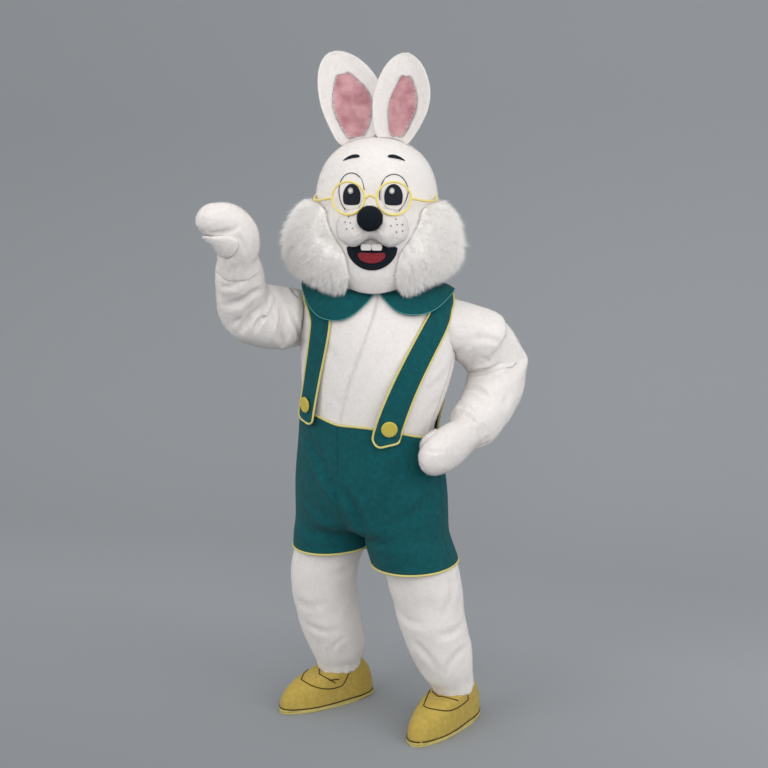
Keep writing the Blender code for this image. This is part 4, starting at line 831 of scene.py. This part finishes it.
felt = pile_finish("teal_felt", linear(12, 82, 86), linear(9, 68, 74), 60, 0.6, 0.0012, sheen=0.04)
thread = pile_finish("teal_thread", linear(44, 107, 109), linear(38, 98, 101), 900, 0.6, 0.0001, 0.05, 0.8)
shorts = []
for side in SIDES:
    for panel, fineness in (("front", 3), ("back", 2)):
        shell = outer_side(merged(f"shorts_{panel}_{side}"))
        shorts.append(rounded(f"short_{panel}_{side}", shell, fineness))
fold(shorts, [
    Crease(((305, 442), (319, 474), (333, 503)), 0.016, 0.0130),
    Crease(((344, 494), (355, 512), (366, 536)), 0.016, 0.0115),
    Crease(((396, 470), (390, 496), (376, 520)), 0.018, 0.0080),
    Crease(((300, 500), (318, 520), (340, 530)), 0.018, 0.0050),
    Crease(((440, 480), (424, 506), (404, 522)), 0.020, 0.0060),
    Crease(((364, 540), (384, 546), (402, 540)), 0.012, 0.0030),
])
fold(shorts, [
    Crease(((330, 470), (352, 500), (372, 516)), 0.016, 0.0045),
    Crease(((430, 470), (412, 500), (392, 516)), 0.016, 0.0045),
    Crease(((366, 524), (384, 530), (402, 524)), 0.012, 0.0035),
], BACK_EYE)
close_seams(shorts, 0.012, 0.0004)
for piece in shorts:
    node = piece.name.replace("short_", "shorts_")
    finish_cloth(piece, node, felt, "teal_felt", FELT_WALL, SHORTS_CUT, SHORTS_AREA)
    rows = along_rim(piece, 0.009, 0.0003, lambda place: place[2] < HEM_TOP or place[2] > WAIST_FOOT)
    runs = stitches(rows, STITCH, STITCH_GAP)
    cords(piece.name + "_stitching", runs, THREAD_RADIUS, thread, 3)

trim = pile_finish("yellow_trim", linear(212, 202, 130), linear(190, 178, 100), 300, 0.5, 0.0006, 0.05)
for node in ("waist_piping", "hem_piping_right", "hem_piping_left"):
    piece = rounded(node.replace("piping", "binding"), merged(node), 2)
    dress(piece, node, trim)

# ---------------------------------------------------------------- braces
# Two straps of the same felt, piped in yellow all along, run from the front waist over the
# shoulders to the back waist. Each front end is a rounded tab held by a covered button.
STRAP_CUT = (0.068, 1.15)
button_cloth = pile_finish("button_cloth", linear(196, 180, 84), linear(178, 162, 70), 300, 0.5, 0.0006, 0.05)
for side in SIDES:
    strap = rounded(f"brace_{side}", outer_side(merged(f"strap_{side}")), 2)
    rows = along_rim(strap, 0.007, 0.0003, lambda place: True)
    runs = stitches(rows, STITCH, STITCH_GAP)
    cords(f"brace_stitching_{side}", runs, THREAD_RADIUS, thread, 3)
    lies = {"held": "draped", "rests_on": [f"body_front_{side}"]}
    finish_cloth(strap, f"strap_{side}", felt, "teal_felt", FELT_WALL, STRAP_CUT, **lies)
    binding = rounded(f"brace_binding_{side}", merged(f"strap_piping_{side}"), 2)
    button = rounded(f"brace_button_{side}", merged(f"button_{side}"), 2, 50)
    dress(binding, f"strap_piping_{side}", trim)
    dress(button, f"button_{side}", button_cloth)

# ---------------------------------------------------------------- collar
# A flat round collar of teal felt in two lobes, meeting at the throat. Its outer edge is turned
# over a cord, and that shows as a thin paler line.
COLLAR_CUT, COLLAR_AREA = (0.30, 0.30), 0.055
THROAT = np.array([0.0, -0.01])
NECK_REACH, THROAT_FRONT = 0.125, -0.11


def turned_over(place):
    """Whether a place on the collar's rim is on its turned-over outer edge, not at the neck."""
    return np.linalg.norm(place[:2] - THROAT) > NECK_REACH or place[1] < THROAT_FRONT


edging = pile_finish("collar_edge", linear(80, 153, 151), linear(72, 143, 141), 500, 0.6, 0.0002, 0.05, 0.8)
collar = [rounded(f"collar_lobe_{side}", outer_side(merged(f"collar_{side}")), 2) for side in SIDES]
for piece, side in zip(collar, SIDES):
    edge = along_rim(piece, 0.0012, 0.0002, turned_over)
    cords(f"collar_edge_{side}", edge, 0.0013, edging, 6)
    cut = {"flat": COLLAR_CUT, "area": COLLAR_AREA, "held": "draped"}
    finish_cloth(piece, f"collar_{side}", felt, "teal_felt", FELT_WALL, **cut)

# ---------------------------------------------------------------- shoes
# Soft shoes of mustard felt over foam, with a thin padded sole of the same felt. Dark cord is
# stitched down along the sole, round a mock strap on the instep and in a small bow line.
SHOE_CUT, SHOE_AREA = (0.40, 0.40), 0.11
SHOE_CORD_RADIUS, WELT_HEIGHT = 0.0021, 0.03
shoe_felt = pile_finish("mustard_felt", linear(184, 160, 80), linear(166, 142, 66), 70, 0.6, 0.0012, 0.05)
sole_felt = pile_finish("sole_felt", linear(196, 182, 112), linear(178, 164, 96), 70, 0.6, 0.0010, 0.05)
brown_cord = pile_finish("brown_cord", linear(78, 60, 25), linear(66, 49, 18), 500, 0.6, 0.0002, 0.05, 0.8)
SHOE_DRAWING = {  # points in the eye's picture: round the mock strap, then the two lines of the bow
    "right": [
        ((308.5, 669.5), (304, 673.5), (301.2, 679.5)),
        ((301.2, 679.5), (306, 682.5), (313, 686), (322, 688.5), (331, 688.8), (338, 687), (342.5, 685),
         (346, 679.5), (348.5, 673), (350, 665)),
        ((321.8, 664), (319.6, 669), (319.3, 674)),
        ((319.3, 674), (325, 677.3), (330.5, 680), (335, 683)),
        ((329, 680.5), (334, 679.6), (339, 679.2)),
    ],
    "left": [
        ((433, 686), (430, 690), (427, 697), (423.5, 705.5)),
        ((423.5, 705.5), (428, 708), (438, 710), (448, 710.8), (456, 708.5), (463, 704), (468.2, 699.5)),
        ((468.2, 699.5), (467.5, 694), (466.5, 688), (465.3, 682)),
        ((432.3, 691.7), (435, 694), (438, 696.5)),
        ((438, 696.5), (444, 697), (452, 699), (458, 700.5)),
    ],
}
for side, drawing in SHOE_DRAWING.items():
    upper = rounded(f"shoe_upper_{side}", outer_side(merged(f"shoe_{side}")), 2)
    tree = joined_tree([upper])
    lines = [laid(tree, line, FRONT_EYE, 0.0004) for line in drawing]
    lines += along_rim(upper, 0.0025, 0.0006, lambda place: place[2] < FLOOR_LEVEL + WELT_HEIGHT)
    shown = [line for line in lines if len(line) > 2]
    cords(f"shoe_cord_{side}", shown, SHOE_CORD_RADIUS, brown_cord, 6)
    finish_cloth(upper, f"shoe_{side}", shoe_felt, "shoe_felt", FELT_WALL, SHOE_CUT, SHOE_AREA)
    sole = rounded(f"shoe_sole_{side}", merged(f"sole_{side}"), 2, 60)
    dress(sole, f"sole_{side}", sole_felt)

# ---------------------------------------------------------------- head
# The head is a foam shell covered in short white plush, in a front and a back half sewn together
# over the crown. A shorter seam runs down the forehead.
HEAD_WALL = 0.009
HEAD_CUT, HEAD_AREA = (0.60, 0.62), 0.30
HALVES = ("front", "back")
covers = [rounded(f"head_cover_{half}", outer_side(merged(f"head_{half}")), 2) for half in HALVES]
close_seams(covers, 0.010, 0.0006)
fold(covers, [Crease(((374, 138), (372, 150), (371, 166), (371, 190)), 0.004, 0.0012)])
for piece, half in zip(covers, HALVES):
    finish_cloth(piece, f"head_{half}", plush, "plush_white", HEAD_WALL, HEAD_CUT, HEAD_AREA)
    nap(piece.name + "_pile", piece, 18000, 0.005, plush, seed=11)

# ---------------------------------------------------------------- face
# The muzzle and the nose are stuffed and sewn on. Mouth, tongue, teeth, brows and the whites of
# the eyes are flat felt shapes glued to the head, and the pupils are satin black discs.
black_felt = pile_finish("black_felt", linear(22, 30, 38), linear(14, 19, 26), 200, 0.5, 0.0008, 0.02)
red_felt = pile_finish("red_felt", linear(138, 46, 54), linear(108, 36, 42), 200, 0.5, 0.0008, 0.03)
white_felt = pile_finish("white_felt", linear(228, 224, 220), linear(214, 210, 205), 200, 0.4, 4e-4, 0.05, 0.7)
gloss = pile_finish("gloss_black", linear(14, 20, 30), linear(18, 25, 36), 160, 0.6, 0.0001, 0.0, 0.5)
STUFFED = ("nose", "muzzle")
FACE = {
    "mouth": (black_felt, "black_felt"),
    "tongue": (red_felt, "red_felt"),
    "nose": (black_felt, "black_felt"),
    "muzzle": (plush, "plush_white"),
    "tooth_right": (white_felt, "white_felt"),
    "tooth_left": (white_felt, "white_felt"),
}
for side in SIDES:
    FACE[f"eye_{side}"] = (white_felt, "white_felt")
    FACE[f"pupil_{side}"] = (gloss, "gloss_black")
    FACE[f"eye_spark_{side}"] = (white_felt, "white_felt")
    FACE[f"brow_{side}"] = (black_felt, "black_felt")
face = {}
for node, (material, slot) in FACE.items():
    piece = rounded(f"face_{node}", merged(node), 2, None if node in STUFFED else 55)
    dress(piece, node, material)
    face[node] = piece
nap("face_muzzle_pile", face["muzzle"], 9000, 0.0045, plush, seed=12)
nap("face_nose_pile", face["nose"], 3500, 0.005, black_felt, (0, 0, 0), seed=15)

# Thin black thread outlines each eye, a grey ring rims its spark, and dots mark the whisker roots.
EYE_OUTLINES = (
    ((345.4, 210), (341, 202), (339, 192), (340.5, 182), (345, 175.5), (351.5, 173), (357.5, 175),
     (362, 181), (364.3, 190)),
    ((380, 200), (379.6, 193), (381.5, 184.5), (386.5, 177), (394, 174.3), (401.5, 177), (406.5, 184),
     (408, 193), (404.5, 203), (399, 211)),
)
WHISKER_ROOTS = (
    (349, 216.8), (345.4, 222.3), (350.5, 223), (352.8, 228.5), (347, 229), (395.7, 219.4),
    (390.8, 225.8), (396.9, 224.8), (402, 224.8), (396.2, 232), (402.2, 231),
)
SPARK_RADIUS = 0.0068
black_thread = pile_finish("black_thread", linear(42, 40, 42), linear(36, 34, 36), 900, 0.6, 0.0001, 0.05, 0.8)
grey_ring = pile_finish("grey_ring", linear(124, 126, 128), linear(112, 114, 116), 900, 0.6, 0.0001, 0.05, 0.8)
face_tree = joined_tree(covers + [face["eye_right"], face["eye_left"], face["muzzle"]])
outlines = [laid(face_tree, line, FRONT_EYE, 0.0008) for line in EYE_OUTLINES]
cords("eye_outlines", outlines, 0.0014, black_thread, 6)
rings = []
for side in SIDES:
    places, normals = corners_of(face[f"eye_spark_{side}"])
    middle = places.mean(0)
    wide, high, out = np.linalg.svd(places - middle)[2]
    front = middle + out * np.sign(out @ (np.array(CAMERA_PLACE) - middle)) * 0.0012
    turns = np.linspace(0, 2 * math.pi, 15)
    rings.append([front + SPARK_RADIUS * (math.cos(t) * wide + math.sin(t) * high) for t in turns])
cords("spark_rings", rings, 0.0010, grey_ring, 5)
dots = []
for x, y in WHISKER_ROOTS:
    spot, way, _, _ = face_tree.ray_cast(FRONT_EYE.place, sight(FRONT_EYE, x, y))
    dots.append(np.array([spot + way * k * 0.0022 for k in (0, 0.6, 1.2)]))
cords("whisker_dots", dots, 0.0017, black_thread, 8)

# ---------------------------------------------------------------- ears
# Each ear is a stuffed leaf of plush with a lining of pink plush, cupped forward at its edges.
# The lining is creased towards its foot.
EAR_RIM, RIM_PILE = 0.005, 26000  # how near the lining the longer pile at its rim stands, and its blades
# The pink's darker tone comes in large, strong mottles. This is painted shade, scattered at random, that
# stands in for the shading of the lining's folds.
pink = pile_finish("pink_plush", linear(206, 158, 163), linear(168, 112, 120), 26, 0.8, 0.001, 0.1)
EAR_FOLDS = {
    "right": [
        Crease(((343, 84), (352, 100), (360, 118), (362, 132)), 0.007, -0.0040),
        Crease(((335, 98), (343, 114), (354, 130)), 0.006, -0.0030),
    ],
    "left": [
        Crease(((402, 84), (398, 104), (394, 122)), 0.007, -0.0040),
        Crease(((411, 100), (408, 112), (402, 124)), 0.006, -0.0030),
    ],
}
for side in SIDES:
    ear = rounded(f"ear_leaf_{side}", merged(f"ear_outer_{side}"), 2)
    lining = rounded(f"ear_lining_{side}", merged(f"ear_inner_{side}"), 2)
    fold([lining], EAR_FOLDS[side])
    dress(ear, f"ear_outer_{side}", plush)
    dress(lining, f"ear_inner_{side}", pink)
    nap(ear.name + "_pile", ear, 12000, 0.005, plush, lie=(0, 0, 0.6), seed=13)
    nap(lining.name + "_pile", lining, 4000, 0.003, pink, lie=(0, 0, 0.6), seed=14)
    spots, ways, chance = strew(ear, RIM_PILE, 16)
    lining_tree = joined_tree([lining])
    hits = [lining_tree.find_nearest(Vector(spot)) for spot in spots]
    above = [lining_tree.ray_cast(Vector(spot), Vector(way), 0.03)[0] for spot, way in zip(spots, ways)]
    beside = np.array([hit[3] < EAR_RIM and cover is None for hit, cover in zip(hits, above)])
    inward = np.array([(hit[0] - Vector(spot)).normalized() for spot, hit in zip(spots, hits)])[beside]
    spots, ways = spots[beside], ways[beside]
    reach = chance.uniform(0.005, 0.010, len(spots))[:, None]
    tips = spots + (inward + ways * 0.7 + chance.normal(scale=0.3, size=spots.shape)) * reach
    blades(f"ear_edge_pile_{side}", spots, tips, np.full(len(spots), 0.0014), ways, plush)

# ---------------------------------------------------------------- cheeks
# Long white fur is sewn to each side of the face in a deep ruff. It stands out sideways and hangs
# over the collar at its lower edge, in fine locks that part a little.
FACE_MIDDLE = np.array([0.055, -0.17, 0.20])
FUR_STRANDS, FUR_LOCKS, FUR_WIDTH, FUR_DROOP = 48000, 1500, 0.0012, 0.0025
FUR_SHORTEST, FUR_LONGEST, FUR_ROOT = 0.012, 0.044, 0.002
fur = pile_finish("long_fur", linear(243, 240, 237), linear(232, 228, 225), 90, 0.5, 0.001, sheen=0.2)
noise.seed_set(7)  # without a seed, noise_vector differs from run to run
head_tree = joined_tree(covers)
for side in SIDES:
    body = rounded(f"ruff_{side}", merged(f"cheek_fur_{side}"), 2)
    places, normals = corners_of(body)
    foot = np.array([head_tree.find_nearest(Vector(place))[0] for place in places])
    move_corners(body, places + (foot - places) * (0.22 - 0.12 * normals[:, :1] ** 2))
    dress(body, f"cheek_fur_{side}", fur)

    # How each strand is combed: outwards, flatter on the outer side and where it meets the head.
    spots, ways, chance = strew(body, FUR_STRANDS, 17)
    deep = np.array([head_tree.find_nearest(Vector(spot))[3] for spot in spots])
    edge = np.exp(-deep / 0.010)[:, None]
    sideways = ways[:, :1] ** 2
    radial = spots - FACE_MIDDLE
    radial /= np.linalg.norm(radial, axis=1)[:, None]
    wave = np.array([noise.noise_vector(Vector(spot) / 0.022 + Vector((9, 4, 2))) for spot in spots])
    comb = ways * (0.38 - 0.23 * sideways) + radial * (0.80 - 0.50 * sideways - 1.2 * edge) + wave * 0.24
    comb += np.array([0, 0.14, -0.30]) * (1 + 0.7 * sideways)
    comb += chance.normal(size=comb.shape) * (0.13 + 0.27 * edge + 0.10 * sideways)
    comb /= np.linalg.norm(comb, axis=1)[:, None]
    reach = np.clip(FUR_SHORTEST + deep * 0.46, FUR_SHORTEST, FUR_LONGEST)
    reach = reach * (0.42 + 0.80 * chance.random(FUR_STRANDS) ** 1.4)
    tips = spots + comb * reach[:, None]

    # Tips draw together a little in locks.
    locks = KDTree(FUR_LOCKS)
    chosen = chance.choice(FUR_STRANDS, FUR_LOCKS, replace=False)
    for k, index in enumerate(chosen):
        locks.insert(Vector(tips[index]), k)
    locks.balance()
    mine = np.array([chosen[locks.find(Vector(tip))[1]] for tip in tips])
    tips += (tips[mine] - tips) * 0.14
    droop = np.zeros_like(tips)
    droop[:, 2] = FUR_DROOP

    # Light comes through long fur from both sides, so its shading leans to the front or the back.
    through = np.clip(ways[:, 1:2] * 2, -1, 1)
    shade = ways * 0.6 + radial * 0.2 + np.array([0, 0, 0.3]) + through * np.array([-0.1, 0.5, 0])
    shade[:, 1:2] -= 0.55 * sideways
    shade /= np.linalg.norm(shade, axis=1)[:, None]
    roots, widths = spots - ways * FUR_ROOT, np.full(FUR_STRANDS, FUR_WIDTH)
    blades(f"ruff_fur_{side}", roots, tips, widths, shade, fur, droop, 0.2)

# ---------------------------------------------------------------- spectacles
# Round rims of painted yellow wire on a curled bridge, with thin side wires that end in the fur.
# They sit on the muzzle and are sewn to the head.
PAINT = 0.0008  # the wire's coat of paint
wire = pile_finish("yellow_wire", linear(234, 216, 131), linear(226, 206, 118), 240, 0.6, 0.0001, 0.0, 0.45)
for node in ("bridge", "rim_right", "rim_left", "temple_right", "temple_left"):
    piece = rounded(f"glasses_{node}", merged(node), 2)
    places, normals = corners_of(piece)
    move_corners(piece, places + normals * PAINT)
    dress(piece, node, wire)
